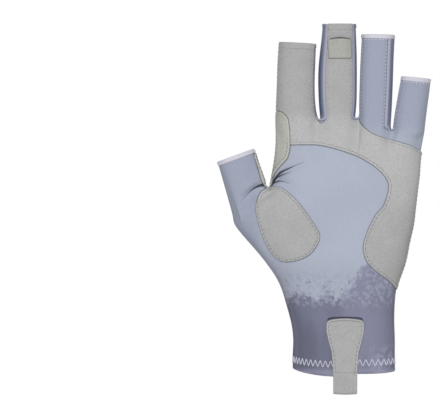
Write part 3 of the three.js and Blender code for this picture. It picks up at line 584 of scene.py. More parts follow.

# Painted shade lines, as across, up and half width: in the palm's deep folds, and in the gap above the tab.
DEEP_FOLDS = [
    [
        (-65, 106.5, 0), (-62, 109.9, 0.05), (-59.3, 113, 0.25), (-56.5, 115.4, 0.5), (-53.5, 117, 0.75),
        (-51, 117.7, 1), (-48, 117.7, 1.2), (-45.5, 117, 1),
    ],
    [
        (-46.2, 117, 1.4), (-44.6, 119, 1.5), (-42.6, 122.1, 1.3), (-40.4, 124.8, 1), (-37.8, 126.5, 0.65),
        (-33.9, 128.3, 0.4), (-30, 130, 0.15), (-24, 132.4, 0),
    ],
    [(-44.8, 119.3, 0.7), (-42.2, 122, 0.6), (-39.2, 123.8, 0.4), (-36.5, 124.8, 0.15), (-33, 125.7, 0)],
    [(-45, 118, 0.6), (-43, 119.5, 0.5), (-40, 120.2, 0.3), (-36.6, 119.6, 0.1), (-33.2, 118.2, 0)],
]
TAB_GAP = [
    (-10.9, 31.8, 0.5), (-9.9, 33.7, 0.6), (-8.4, 34.5, 0.5), (-4, 35, 0.45), (1, 35.15, 0.45),
    (6, 35, 0.45), (10.4, 34.5, 0.5), (11.9, 33.7, 0.6), (12.9, 31.8, 0.5),
]


def wrist_mask(tree, place, parts, border, breakup, softness):
    """One below a border that is broken up by noise: the height minus the border's plus the noise."""
    height = math_node(tree, "SUBTRACT", parts[2], value_curve(tree, parts[0], border, BORDER_TOP))
    cloud = noise(tree, place, 150.0, 5.0, 0.72)
    broken = math_node(tree, "MULTIPLY_ADD", cloud, breakup * MM, height)
    middle = breakup * MM / 2
    return step(tree, broken, middle - softness * MM, middle + softness * MM, 1.0, 0.0)


def painted_shade_line(tree, parts, colour, rows):
    """Painted shade inside a deep fold or a narrow gap: rows of across, up and the half width of the line."""
    first, last = rows[0][0], rows[-1][0]
    up = value_curve(tree, parts[0], [(x, z) for x, z, _ in rows], LINE_TOP)
    half = value_curve(tree, parts[0], [(x, width) for x, _, width in rows], LINE_WIDEST)
    away = math_node(tree, "ABSOLUTE", math_node(tree, "SUBTRACT", parts[2], up))
    over = math_node(tree, "SUBTRACT", away, half)
    share = step(tree, over, -0.3 * MM, 0.4 * MM, 0.9, 0.0)
    ends = window(tree, parts[0], (first, first + LINE_FADE), (last - LINE_FADE, last))
    return blend(tree, math_node(tree, "MULTIPLY", share, ends), colour, SHADE_LINE_COLOUR)


def knit_surface(tree, shader, place, colour):
    """The knit's fine relief, and the shade in its seams and along the suede's edges."""
    for name, reach, shade in [("seam", 0.7, 0.72), ("to_suede", 0.7, 0.5)]:
        colour = shaded(tree, colour, step(tree, attribute(tree, name), 0.1, reach, shade, 1.0))
    # The real wales are 0.4 mm apart, and are drawn at twice that so that they show.
    stretched = add_node(tree, "Mapping", {0: place, 3: (1.0, 1.0, 0.3)})
    wales = noise(tree, stretched, 1250.0, 3.0, 0.6)
    cover(tree, shader, grained(tree, colour, wales, 0.965, 1.035), wales, 0.35, 0.12)


def splatter(tree, place, size, low, high, share):
    """Drops of ink: noise of a given size in millimetres, cut off sharply, and laid over at a share."""
    return step(tree, noise(tree, place, 1000 / size, 3.0, 0.55), low, high, 0.0, share)


def plain_knit():
    """The palm's knit: pale blue-grey, darker on the fingers and the thumb, and the wrist's splattered print.
    """
    material, tree, shader = new_material("knit nylon and elastane, plain", 0.8, 0.06, "#c9cede")
    place, parts = object_place(tree)
    lilac = step(tree, noise(tree, place, 22.0, 2.0), 0.42, 0.72, 0.0, 0.5)
    # Darker on the fingers and the thumb.
    on_fingers = step(tree, parts[2], 140 * MM, 160 * MM)
    on_thumb = step(tree, parts[0], -58 * MM, -46 * MM, 1.0, 0.0)
    fingers_or_thumb = math_node(tree, "MAXIMUM", on_fingers, on_thumb)
    colour = blend(tree, fingers_or_thumb, blend(tree, lilac, "#abb2c1", "#a6a8b8"), "#9da3b4")

    # The wrist's print is paler towards its border, and darkest at the thumb's side, where the darkness is
    # partly the print and partly painted shade on that side.
    streaks = add_node(tree, "Mapping", {0: place, 3: (1.0, 1.0, 0.3)})
    bands = step(tree, noise(tree, streaks, 60.0, 2.0), 0.38, 0.62)
    across = step(tree, parts[0], -22 * MM, 12 * MM)
    dark = blend(tree, across, "#686a7d", "#78788c")
    dark = blend(tree, bands, dark, blend(tree, across, "#75778c", "#84849b"))
    dark = blend(tree, step(tree, parts[2], 36 * MM, 58 * MM, 0.0, 0.5), dark, "#9497ad")
    border = [
        (-45, 49), (-30, 49), (-15, 48), (-4, 48), (3, 52), (9, 62), (15, 66), (24, 60), (33, 54), (45, 52),
    ]
    colour = blend(tree, wrist_mask(tree, place, parts, border, 26, 1.7), colour, dark)

    # Drops of paler ink in the print's upper part, of darker ink above it, and paler ones in its corner.
    shifted = add_node(tree, "Mapping", {0: place, 1: (0.05, 0.0, 0.02)})
    beside = step(tree, parts[0], 12 * MM, 26 * MM)
    low = step(tree, parts[2], 12 * MM, 20 * MM, 1.0, 0.0)
    corner = math_node(tree, "MULTIPLY", beside, low)
    in_print = window(tree, parts[2], (39, 46), (60, 68))
    over_border = window(tree, parts[2], (46, 52), (56, 64))
    for drops, here, ink in [
        (splatter(tree, place, 2.5, 0.49, 0.55, 0.62), in_print, "#a2a7ba"),
        (splatter(tree, shifted, 3.0, 0.57, 0.62, 0.65), over_border, "#8287a0"),
        (splatter(tree, place, 4.0, 0.48, 0.53, 0.6), corner, "#a2a5ba"),
    ]:
        colour = blend(tree, math_node(tree, "MULTIPLY", drops, here), colour, ink)

    # Darker in a band round the border, and paler along the cuff's lowest few millimetres.
    above = step(tree, parts[2], 58 * MM, 80 * MM, 0.915, 1.0)
    below = step(tree, parts[2], 34 * MM, 44 * MM, 1.0, 0.915)
    colour = shaded(tree, colour, math_node(tree, "MAXIMUM", above, below))
    colour = blend(tree, step(tree, parts[2], 0.5 * MM, 4.5 * MM, 0.55, 0.0), colour, "#9c9cb2")
    # Painted shade in the deep folds and in the gap above the tab.
    for rows in [*DEEP_FOLDS, TAB_GAP]:
        colour = painted_shade_line(tree, parts, colour, rows)
    knit_surface(tree, shader, place, colour)
    return material


def side_knit():
    """The strips between the fingers: the same knit, with painted shade that makes them darker where they
    face sideways and darkest low between the fingers, and pale close to their seams.
    """
    material, tree, shader = new_material("knit nylon and elastane, with painted shade", 0.8, 0.06, "#c9cede")
    place, parts = object_place(tree)
    # Painted shade: a darker base than the palm's knit, for strips that face sideways.
    colour = blend(tree, noise(tree, place, 40.0, 2.0), "#7d8799", "#8b8da1")
    seam = attribute(tree, "seam")
    # More painted shade low between the fingers, away from the seams, and less between ring and little
    # finger.
    low = step(tree, parts[2], 192 * MM, 214 * MM, 0.85, 0.0)
    inward = step(tree, parts[0], 12 * MM, 20 * MM, 1.0, 0.2)
    deeper = math_node(tree, "MULTIPLY", step(tree, seam, 2.6, 5.0), low)
    colour = blend(tree, math_node(tree, "MULTIPLY", deeper, inward), colour, "#56637a")
    colour = blend(tree, step(tree, seam, 1.4, 3.0), "#a9abbf", colour)
    knit_surface(tree, shader, place, colour)
    return material


WAVES_MIDDLE = (5, 61)
WAVES_HALF = (31, 15)
WAVE_LENGTH = 15.5
WAVE_SPACING = 6.2
WAVE_SWING = 0.3
WAVE_THICKNESS = 0.13
WAVE_ROUGHNESS = 0.22


def wave_lines(tree, place, parts):
    """Stacked wave lines in an oval: a sine lifts the rows, and each thins out towards the oval's edge."""
    phase = math_node(tree, "MULTIPLY", parts[0], 2 * np.pi / (WAVE_LENGTH * MM))
    swing = math_node(tree, "MULTIPLY", math_node(tree, "SINE", phase), WAVE_SWING)
    rows = math_node(tree, "MULTIPLY_ADD", parts[2], 1 / (WAVE_SPACING * MM), swing)
    rough = noise(tree, place, 500.0, 2.0)
    rows = math_node(tree, "MULTIPLY_ADD", rough, WAVE_ROUGHNESS, rows)
    near = math_node(tree, "PINGPONG", rows, 0.5)
    squares = []
    for part, middle, half in zip((parts[0], parts[2]), WAVES_MIDDLE, WAVES_HALF):
        away = add_node(tree, "MapRange", {
            0: part, 1: (middle - half) * MM, 2: (middle + half) * MM, 3: -1.0, 4: 1.0,
        }, clamp=False)
        squares.append(math_node(tree, "MULTIPLY", away, away))
    oval = math_node(tree, "ADD", *squares)
    thickness = add_node(tree, "MapRange", {0: oval, 1: 0.5, 2: 1.0, 3: WAVE_THICKNESS, 4: -0.04})
    over = math_node(tree, "SUBTRACT", near, thickness)
    return step(tree, over, -0.03, 0.03, 0.9, 0.0)


def printed_knit():
    """The back's knit: tone-on-tone clouds, slanting brush strokes and splatters over the same ground."""
    material, tree, shader = new_material("knit nylon and elastane, printed", 0.8, 0.06, "#d3d6e2")
    place, parts = object_place(tree)
    clouds = noise(tree, place, 26.0, 3.0)
    colour = blend(tree, step(tree, clouds, 0.38, 0.62), "#aab0c3", "#b5bac8")
    slant = {0: place, 2: (0.0, -0.85, 0.0), 3: (1.0, 1.0, 4.2)}
    strokes = noise(tree, add_node(tree, "Mapping", slant, vector_type="TEXTURE"), 85.0, 4.0)
    strokes = step(tree, strokes, 0.49, 0.55, 0.0, 0.8)
    high = step(tree, parts[2], 80 * MM, 112 * MM)
    colour = blend(tree, math_node(tree, "MULTIPLY", strokes, high), colour, "#c6c8d0")
    drops = step(tree, noise(tree, place, 190.0, 4.0, 0.6), 0.56, 0.6, 0.0, 0.7)
    drops = math_node(tree, "MULTIPLY", drops, step(tree, clouds, 0.42, 0.56))
    colour = blend(tree, drops, colour, "#c2c6d4")
    border = [(-45, 24), (-20, 22), (-6, 18), (4, 22), (12, 34), (24, 33), (45, 44)]
    colour = blend(tree, wrist_mask(tree, place, parts, border, 30, 4.5), colour, "#9f9fb8")
    colour = blend(tree, wave_lines(tree, place, parts), colour, "#3d3c52")
    knit_surface(tree, shader, place, colour)
    return material


palm_knit = plain_knit()
back_knit = printed_knit()
strip_knit = side_knit()
PANELS = {
    "palm_cloth": (PALM, "palm_panel", palm_knit, "palm_lycra"),
    "back_cloth": (BACK, "back_panel", back_knit, "printed_lycra"),
    "strip_index_middle": (INDEX_MIDDLE, "fourchette_index_middle", strip_knit, "palm_lycra"),
    "strip_middle_ring": (MIDDLE_RING, "fourchette_middle_ring", strip_knit, "palm_lycra"),
    "strip_ring_little": (RING_LITTLE, "fourchette_ring_little", strip_knit, "palm_lycra"),
}
panel_points = {}
for name, (panel, node, material, slot) in PANELS.items():
    used, panel_quads = cut_out(skin_panels == panel, skin_quads)
    piece = closed_sheet(name, skin[used], skin[used] - CLOTH * skin_facing[used], panel_quads)
    set_value(piece, "seam", seam_distance[used])
    panel_points[name] = used
    piece.data.materials.append(material)
    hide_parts(node)
    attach(piece, "root")


# The suede: short-napped synthetic suede in grey, cut to smooth outlines and topstitched onto the cloth. One
# patch covers index and middle finger, runs across under the knuckles and down the little finger's side,
# one lies on the ball of the thumb, and a beige one runs through the crotch of thumb and index finger.
SUEDE = 1
SUEDE_LIFT = 0.1
BEVEL = 0.45
STITCH_INSET = 1.35
STITCH_PRESS, STITCH_PRESS_WIDTH = 0.14, 0.5
EDGE_HEIGHT = 0.45
TIP_HEIGHT = 0.35
TIP_SIDE, TIP_BOTTOM, TIP_REACH = 5, 76, 14
SEAM_LIMIT = 0.15
WEB_UNDER_TAPE = 0.3
WEB_BLEND, WEB_REACH = 0.5, 6
WEB_SIDE = -28
FAR = 9

BAND_LOWER_EDGE = [
    (0.433, 0.299), (0.37, 0.327), (0.308, 0.367), (0.242, 0.395), (0.177, 0.429), (0.149, 0.455),
    (0.135, 0.49), (0.142, 0.524), (0.177, 0.579), (0.225, 0.63), (0.277, 0.666), (0.31, 0.734),
    (0.287, 0.776), (0.232, 0.809), (0.163, 0.837), (0.066, 0.865), (-0.128, 0.899), (-0.273, 0.905),
    (-0.52, 0.901),
]
BAND_UPPER_EDGE = [
    (0.1, 1.017), (0.114, 0.993), (0.149, 0.969), (0.194, 0.949), (0.262, 0.933), (0.359, 0.918),
    (0.456, 0.901), (0.523, 0.881), (0.599, 0.861),
]
THENAR_EDGE = [
    (-0.532, 0.731), (-0.465, 0.736), (-0.405, 0.725), (-0.308, 0.674), (-0.218, 0.602), (-0.164, 0.542),
    (-0.218, 0.478), (-0.322, 0.447), (-0.433, 0.447), (-0.516, 0.496), (-0.571, 0.57), (-0.602, 0.65),
    (-0.58, 0.708),
]
NOTCH = (-0.15, 1.004)
NOTCH_HALF = 2.4

# The web patch as seen from the palm's side and from the back: its sewn edges, then points off the hand.
WEB_FRONT_EDGE = [
    (-52, 164.6), (-41.9, 164.2), (-38.1, 163.2), (-35, 160), (-34, 155.6), (-33.5, 149.3), (-33.4, 144.9),
    (-33.7, 139.9), (-35, 134.8), (-36.9, 132.3), (-39.4, 129.8), (-41.9, 126.6), (-44.4, 122.2),
    (-46.6, 116.6), (-48.9, 116.4), (-50.6, 118.6), (-52, 122), (-54.3, 130.5), (-56.7, 140), (-58.8, 148),
]
WEB_BACK_EDGE = [
    (-67.5, 143), (-65.4, 137), (-64.3, 127.6), (-63, 116.9), (-61.4, 108.3), (-57.6, 101.3), (-54.2, 97.4),
    (-52.2, 96.8), (-49.8, 102.4), (-46.9, 108.7), (-44.7, 115.6), (-43, 121.3), (-41.8, 135), (-40.3, 151.5),
    (-40.6, 163.5), (-52, 164.6),
]


def placed(shares):
    """Shares of the breadth and the length as millimetres."""
    return np.array(shares) * (HAND_BREADTH, GLOVE_LENGTH)


def outline_distance(at, outline):
    """Distance from an outline, positive inside, where a ray crosses its edges an odd number of times."""
    start, end = outline, np.roll(outline, -1, 0)
    along = end - start
    found = []
    for part in np.array_split(at, 1 + len(at) // 8000):
        away = part[:, None] - start
        share = np.clip((away * along).sum(-1) / (along**2).sum(-1), 0, 1)
        nearest = np.linalg.norm(away - share[..., None] * along, axis=-1).min(1)
        crosses = (start[:, 1] > part[:, None, 1]) != (end[:, 1] > part[:, None, 1])
        level = np.where(along[:, 1] == 0, 1, along[:, 1])
        right = away[..., 0] < away[..., 1] * along[:, 0] / level
        found.append(np.where((crosses & right).sum(1) % 2 == 1, nearest, -nearest))
    return np.concatenate(found)


band_outline = np.concatenate([
    smooth_line(placed(BAND_LOWER_EDGE)), [(-70, 140), (-70, 260), (0.093 * HAND_BREADTH, 260)],
    smooth_line(placed(BAND_UPPER_EDGE)), [(70, 120), (70, 60)],
])
thenar_outline = smooth_line(placed(THENAR_EDGE), closed=True)
web_front_outline = np.concatenate([smooth_line(WEB_FRONT_EDGE), [(-70, 160)]])
web_back_outline = np.concatenate([smooth_line(WEB_BACK_EDGE), [(-70, 170)]])
rim_distance = edge_distance(skin, *skin[open_edges].transpose(1, 0, 2))


def band_inside(at):
    """Inside the palm suede's outline, and outside its rounded notch."""
    notch_x, notch_z = placed(NOTCH)
    notch = np.hypot(at[:, 0] - notch_x, np.minimum(at[:, 2] - notch_z, 0)) - NOTCH_HALF
    return np.minimum(outline_distance(at[:, [0, 2]], band_outline), notch)


def thenar_inside(at):
    """Inside the thenar patch's outline."""
    return outline_distance(at[:, [0, 2]], thenar_outline)


def web_inside(at, outward):
    """Inside the web patch: the front outline on the palm's side, the back one behind, blended between."""
    front = outline_distance(at[:, [0, 2]], web_front_outline)
    behind = outline_distance(at[:, [0, 2]], web_back_outline)
    front, behind = (np.clip(away, -WEB_REACH, WEB_REACH) for away in (front, behind))
    share = np.clip(outward[:, 1] / WEB_BLEND + 0.5, 0, 1)
    return mix(front, behind, share * share * (3 - 2 * share))


def clipped(table, triangles, level):
    """The part of a triangle mesh above level zero; an edge that crosses it is cut in proportion."""
    above = level[triangles] > 0
    count = above.sum(1)
    turns = np.array([0, 1, 2])
    lone = triangles[count == 1]
    lone = np.take_along_axis(lone, (above[count == 1].argmax(1)[:, None] + turns) % 3, 1)
    pair = triangles[count == 2]
    pair = np.take_along_axis(pair, ((~above[count == 2]).argmax(1)[:, None] + turns) % 3, 1)
    cuts = np.concatenate([lone[:, [0, 1]], lone[:, [0, 2]], pair[:, [1, 0]], pair[:, [2, 0]]])
    crossing, which = np.unique(cuts, axis=0, return_inverse=True)
    within, outside = crossing.T
    share = np.clip(level[within] / (level[within] - level[outside]), 0.02, 0.98)[:, None]
    ids = np.split(which.ravel() + len(table), np.cumsum([len(lone), len(lone), len(pair)]))
    made = np.concatenate([
        triangles[count == 3],
        np.stack([lone[:, 0], ids[0], ids[1]], -1),
        np.stack([ids[2], pair[:, 1], pair[:, 2]], -1),
        np.stack([ids[2], pair[:, 2], ids[3]], -1),
    ])
    used, numbers = np.unique(made, return_inverse=True)
    return np.concatenate([table, mix(table[within], table[outside], share)])[used], numbers.reshape(-1, 3)


def suede_patch(name, chosen, inside_of):
    """A patch over the chosen faces: clipped where it ends, bevelled along its edge, and closed below.

    By the side seam it is pressed flatter towards its lower tip.
    """
    used, quads = cut_out(chosen, skin_quads)
    at, outward = skin[used], skin_facing[used]
    inside = inside_of(at, outward, used)
    from_side = np.clip(seam_distance[used] / TIP_SIDE, 0, 1)
    up = np.clip((at[:, 2] - TIP_BOTTOM) / TIP_REACH, 0, 1)
    pressed_flat = mix(TIP_HEIGHT, 1, np.maximum(from_side, up))
    table = np.column_stack([at, outward, inside, rim_distance[used], pressed_flat])
    table, triangles = clipped(table, split_quads(quads), table[:, 6])
    top, top_triangles = clipped(table, triangles, table[:, 6] - BEVEL)
    rim, rim_triangles = clipped(table, triangles, BEVEL - table[:, 6])
    table = np.concatenate([top, rim])
    points, triangles = welded(table[:, :3], np.concatenate([top_triangles, rim_triangles + len(top)]))
    _, first = np.unique(np.round(table[:, :3], 3), axis=0, return_index=True)
    table = table[first]
    outward, inside, flatness = table[:, 3:6], table[:, 6:7], table[:, 8:9]
    slope = mix(EDGE_HEIGHT, 1, np.clip(inside / BEVEL, 0, 1))
    pressed = STITCH_PRESS * np.exp(-(((inside - STITCH_INSET) / STITCH_PRESS_WIDTH) ** 2))
    height = (SUEDE_LIFT + SUEDE * slope - pressed) * flatness
    triangles = triangles[(np.diff(np.sort(triangles, 1), axis=1) > 0).all(1)]
    outer = points + height * outward
    piece = closed_sheet(name, outer, points + SUEDE_LIFT * flatness * outward, triangles)
    set_value(piece, "from_edge", inside[:, 0])
    return piece, (outer, facing(outer, triangles), triangles, inside[:, 0], table[:, 7])


parts_of = np.repeat(cage_parts, 4**FINE_LEVELS)
on_palm = skin_panels == PALM
palm_parts = on_palm & np.isin(parts_of, [0, 1, 3, 4, 6, 7])
thenar_parts = on_palm & np.isin(parts_of, [0, 3, 4, 5])
near_web = (skin[skin_quads].mean(1)[:, 0] < WEB_SIDE) & np.isin(parts_of, [0, 2, 3, 4, 5, 6])


def palm_patch_inside(at, outward, used):
    """The band's outline, the seams of its cloth panel and the web patch's edge, whichever is nearest."""
    beside_web = -web_inside(at, outward) - SEAM_LIMIT
    return np.minimum.reduce([band_inside(at), seam_distance[used] - SEAM_LIMIT, beside_web])


def thenar_patch_inside(at, outward, used):
    """The thenar outline, but not past the side seam or under the web patch."""
    beside_web = -web_inside(at, outward) - SEAM_LIMIT
    return np.minimum.reduce([thenar_inside(at), seam_distance[used] - SEAM_LIMIT, beside_web])


def web_patch_inside(at, outward, used):
    """The web's outlines, and short of the thumb's binding."""
    return np.minimum(web_inside(at, outward), rim_distance[used] - BINDING_HEIGHT + WEB_UNDER_TAPE)


def suede(name, dark, light, gap=None):
    """Synthetic suede: a matt nap in two near tones a millimetre apart, mottled, with painted shade and a
    painted highlight along its edges and stitches, and painted light on the knuckle band.
    """
    material, tree, shader = new_material(name, 0.95, 0.12, "#e6e6e0")
    place, parts = object_place(tree)
    nap = noise(tree, place, 900.0, 4.0, 0.7)
    colour = blend(tree, step(tree, nap, 0.36, 0.64), dark, light)
    colour = grained(tree, colour, noise(tree, place, 95.0, 3.0), 0.965, 1.03)

    # The cut edge is darker, partly its own colour and partly painted shade on its bevel. The row of stitches
    # gets painted shade in its groove, weaker on the fingers, and the rim that they press up gets a painted
    # highlight. Painted light brightens the knuckle band over the suede lower down, and the suede is darker
    # towards the fingertips.
    edge = attribute(tree, "from_edge")
    cut = step(tree, edge, 0.0, 0.3, 0.8, 1.05)
    away = math_node(tree, "ABSOLUTE", math_node(tree, "SUBTRACT", edge, STITCH_INSET))
    weaker = step(tree, parts[2], 140 * MM, 150 * MM, 0.0, 0.32)
    row = math_node(tree, "ADD", step(tree, away, 0.12, 0.42, 0.55, 1.0), weaker)
    row.use_clamp = True
    rim_painted_highlight = step(tree, edge, STITCH_INSET - 0.1, STITCH_INSET + 0.3, 1.07, 1.0)
    knuckle_painted_light = step(tree, parts[2], 90 * MM, 122 * MM, 0.95, 1.1)
    fingertips_darker = step(tree, parts[2], 154 * MM, 166 * MM, 1.0, 0.86)
    shade = cut
    for factor in (row, rim_painted_highlight, knuckle_painted_light, fingertips_darker):
        shade = math_node(tree, "MULTIPLY", shade, factor)
    colour = shaded(tree, colour, shade)
    # Painted shade in a narrow gap, where one is given.
    if gap:
        colour = painted_shade_line(tree, parts, colour, gap)
    cover(tree, shader, colour, nap, 0.3, 0.15)
    return material


# Painted shade in the narrow gap above the pull loop, as across, up and half width.
LOOP_GAP = [
    (-9.8, 208.6, 0.15), (-7, 209.1, 0.3), (-2.2, 209.7, 0.35), (2.6, 209.2, 0.3), (5.4, 208.7, 0.15),
]
grey_suede = suede("synthetic suede, grey", "#a4a4a4", "#afafaf", LOOP_GAP)
beige_suede = suede("synthetic suede, beige", "#a4a59f", "#afb0a9")
PATCHES = {
    "palm_suede": (palm_parts, palm_patch_inside, "suede_palm", grey_suede, "grey_suede"),
    "thenar_suede": (thenar_parts, thenar_patch_inside, "suede_thenar", grey_suede, "grey_suede"),
    "thumb_web_suede": (near_web, web_patch_inside, "suede_thumb_web", beige_suede, "beige_suede"),
}
surfaces = {}
for name, (chosen, inside_of, node, material, slot) in PATCHES.items():
    piece, surfaces[name] = suede_patch(name, chosen, inside_of)
    piece.data.materials.append(material)
    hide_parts(node)
    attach(piece, "root")

# The cloth is shaded close to the suede, where each patch stands over it.
for name, used in panel_points.items():
    at, outward = skin[used], skin_facing[used]
    nearest = np.full(len(used), -float(FAR))
    if name == "palm_cloth":
        nearest = np.maximum.reduce([band_inside(at), thenar_inside(at), web_inside(at, outward)])
    if name == "back_cloth":
        nearest = web_inside(at, outward)
    set_value(bpy.data.objects[name], "to_suede", -nearest)


# The topstitching: grey thread a good millimetre inside every edge of the suede, two rows across the hems of
# index and middle finger, and pale thread beside the seams of the fingers. Each stitch dips in at its ends.
STITCH_PITCH = 2.6
STITCH_HALF = 0.92
THREAD_RADIUS = 0.24
MIDDLE_HEM_ROW = 4.7
NOT_THE_INDEX = 20
SEAM_STITCH_INSET = 0.6
FINGER_STITCH = (2.2, 0.75, 0.2)


def chains(starts, ends):
    """The points of each line that directed pairs make up, in order, by jumps that double every round."""
    count = int(max(starts.max(), ends.max())) + 1
    rounds = range(int(np.ceil(np.log2(count))) + 1)
    itself = np.arange(count)
    after = itself.copy()
    after[starts] = ends
    lowest, jump = np.minimum(itself, after), after
    for _ in rounds:
        lowest, jump = np.minimum(lowest, lowest[jump]), jump[jump]
    looped = after[jump] != jump
    last = looped & (after == lowest)
    after[last] = itself[last]
    steps, jump = (after != itself).astype(int), after
    for _ in rounds:
        steps, jump = steps + steps[jump], jump[jump]
    members = np.unique([starts, ends])
    order = members[np.lexsort((-steps[members], jump[members]))]
    parts = np.split(order, np.flatnonzero(np.diff(jump[order])) + 1)
    return [(part, bool(looped[part[0]])) for part in parts]


def level_lines(points, outward, triangles, level):
    """Lines on a surface where a value is zero: it rises on one edge of a triangle and falls on another."""
    edges = np.stack([triangles, np.roll(triangles, -1, 1)], -1)
    high = level[edges] > 0
    cut = np.concatenate([edges[~high[..., 0] & high[..., 1]], edges[high[..., 0] & ~high[..., 1]]])
    key, which = np.unique(np.sort(cut, 1), axis=0, return_inverse=True)
    share = (level[key[:, 0]] / (level[key[:, 0]] - level[key[:, 1]]))[:, None]
    at, out = (mix(part[key[:, 0]], part[key[:, 1]], share) for part in (points, outward))
    return [(at[line], out[line], looped) for line, looped in chains(*np.split(which.ravel(), 2))]


def unit(directions):
    """The same directions at length one."""
    return directions / np.maximum(np.linalg.norm(directions, axis=-1, keepdims=True), 1e-9)


def stitches(line, outward, looped, pitch=STITCH_PITCH, half=STITCH_HALF, radius=THREAD_RADIUS):
    """Stitches at an even pitch: five rings of six points, thinner and sunk at both ends."""
    if looped:
        line, outward = np.concatenate([line, line[:1]]), np.concatenate([outward, outward[:1]])
    along = np.append(0, np.cumsum(np.linalg.norm(np.diff(line, axis=0), axis=1)))
    number = int(along[-1] / pitch)
    where = (np.arange(number) + 0.5) * along[-1] / max(number, 1)

    def taken(values, shift=0.0):
        return np.stack([np.interp(where + shift, along, values[:, axis]) for axis in range(3)], -1)

    middle, ahead = taken(line), unit(taken(line, half) - taken(line, -half))
    up = unit(taken(outward))
    side = unit(np.cross(up, ahead))
    share = np.linspace(-1, 1, 5)
    angle = np.arange(6) * np.pi / 3
    thick = radius * np.sqrt(1.06 - share**2)[:, None]
    lift = radius * (0.2 - 1.1 * share**2)[:, None] + thick * np.sin(angle)
    spread_out = thick * np.cos(angle)
    rings = (
        middle[:, None, None]
        + half * share[:, None, None] * ahead[:, None, None]
        + spread_out[..., None] * side[:, None, None]
        + lift[..., None] * up[:, None, None]
    )
    return rings.reshape(-1, 3)


def thread_piece(name, rows, material):
    """All stitches of one thread as one piece: walls between the rings, and a face at each end."""
    points = np.concatenate(rows)
    first = np.arange(len(points) // 30)[:, None] * 30
    ring, spot = np.divmod(np.arange(24), 6)
    turn = (spot + 1) % 6
    wall = np.stack([ring * 6 + spot, ring * 6 + 6 + spot, ring * 6 + 6 + turn, ring * 6 + turn], -1)
    walls = (first[..., None] + wall).reshape(-1, 4)
    ends = np.stack([np.arange(6), 24 + np.arange(6)[::-1]])
    piece = new_mesh(name, points, walls, (first[..., None] + ends).reshape(-1, 6))
    piece.data.materials.append(material)
    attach(piece, "root")
    return piece


def thread(name, colour):
    """Spun polyester thread: matt, with the twist of its plies as fine slanting bands."""
    material, tree, shader = new_material(name, 0.7, 0.15, "#ffffff")
    place, _ = object_place(tree)
    plies = noise(tree, place, 1400.0, 2.0)
    cover(tree, shader, grained(tree, colour, plies, 0.86, 1.08), plies, 0.4, 0.1)
    return material


grey_thread = thread("spun polyester thread, grey", "#babab8")
pale_thread = thread("spun polyester thread, pale", "#e2e3ec")
suede_rows = []
for name, (outer, outward, triangles, inside, to_rim) in surfaces.items():
    lines = level_lines(outer, outward, triangles, inside - STITCH_INSET)
    if name == "palm_suede":
        second_row = MIDDLE_HEM_ROW - to_rim + NOT_THE_INDEX * (outer[:, 0] < -15)
        lines += level_lines(outer, outward, triangles, second_row)
    suede_rows += [stitches(*line) for line in lines]
thread_piece("suede_stitches", suede_rows, grey_thread)

finger_rows = []
for panel, grid_numbers in [(PALM, [8, 9]), (BACK, [6, 7, 8, 9])]:
    used, quads = cut_out((skin_panels == panel) & np.isin(parts_of, grid_numbers), skin_quads)
    level = np.minimum(seam_distance[used] - SEAM_STITCH_INSET, rim_distance[used] - BINDING_HEIGHT)
    for line in level_lines(skin[used], skin_facing[used], split_quads(quads), level):
        finger_rows.append(stitches(*line, *FINGER_STITCH))
thread_piece("finger_stitches", finger_rows, pale_thread)


# The bindings: white elastic tape folded over the raw edge of each opening and sewn through. On index and
# middle finger it stops at the suede, which is turned over the rim there and sewn down as a hem.
TAPE_PROFILE = np.array([
    (0.04, -2.3), (0.28, -2.28), (0.36, -2.15), (0.34, -1.8), (0.4, -1), (0.38, -0.25), (0.2, 0.16),
    (-0.2, 0.3), (-0.8, 0.3), (-1.2, 0.16), (-1.38, -0.25), (-1.42, -1), (-1.38, -1.8), (-1.38, -2.15),
    (-1.3, -2.28), (-1.06, -2.3),
])
HEM_PROFILE = np.array([
    (1.13, -3.4), (1.26, -3.37), (1.3, -3.1), (1.26, -2.4), (1.3, -0.7), (1.2, -0.1), (0.9, 0.2), (0, 0.3),
    (-0.9, 0.2), (-1.4, -0.1), (-1.55, -0.7), (-1.52, -1.6), (-1.52, -3.1), (-1.45, -3.37), (-1.06, -3.4),
])
TAPE_END = -0.15
TAPE_ROW = (0.34, -1.8)
TAPE_STITCH = (2.2, 0.8, 0.17)
HEM_FACE = 1.28
HEM_STITCH_ROWS = {"index": 2.6, "middle": 1.3}
HEM_FROM_EDGE = 3.0
TOP_OF_CUFF = 20


def folded(profile, thickest):
    """The closed section of something folded over the cloth: its outside, then the cloth's own outline."""
    within = np.column_stack([np.clip(profile[:, 0], -1.03, thickest), np.minimum(profile[:, 1], 0.02)])
    return np.concatenate([profile, within[::-1]])


def swept_body(name, rings, looped):
    """A body of rings; where it isn't a loop, each end is closed by strips across its ring."""
    count, size = rings.shape[:2]
    ring, spot = np.arange(count if looped else count - 1)[:, None], np.arange(size)
    after, turn = (ring + 1) % count * size, (spot + 1) % size
    walls = np.stack([ring * size + spot, ring * size + turn, after + turn, after + spot], -1).reshape(-1, 4)
    faces = [walls]
    if not looped:
        half = np.arange(size // 2 - 1)
        end = np.stack([half, size - 1 - half, size - 2 - half, half + 1], -1)
        faces += [end, end[:, ::-1] + (count - 1) * size]
    return new_mesh(name, rings.reshape(-1, 3), *faces)


def rim_rings(line, outward, looped, profile):
    """A section carried along a rim: its first number goes outwards, its second beyond the edge."""
    if looped:
        ahead = unit(np.roll(line, -1, 0) - np.roll(line, 1, 0))
    else:
        ahead = unit(np.gradient(line, axis=0))
    beyond = unit(np.cross(ahead, outward))
    return line[:, None] + profile[:, :1] * outward[:, None] + profile[:, 1:] * beyond[:, None]


def woven_tape(name, colour):
    """Elastic tape: matt white with fine cross ribs, half a millimetre apart."""
    material, tree, shader = new_material(name, 0.72, 0.2, "#ffffff")
    place, _ = object_place(tree)
    weave = noise(tree, place, 1500.0, 2.0)
    cover(tree, shader, grained(tree, colour, weave, 0.94, 1.04), weave, 0.45, 0.15)
    return material


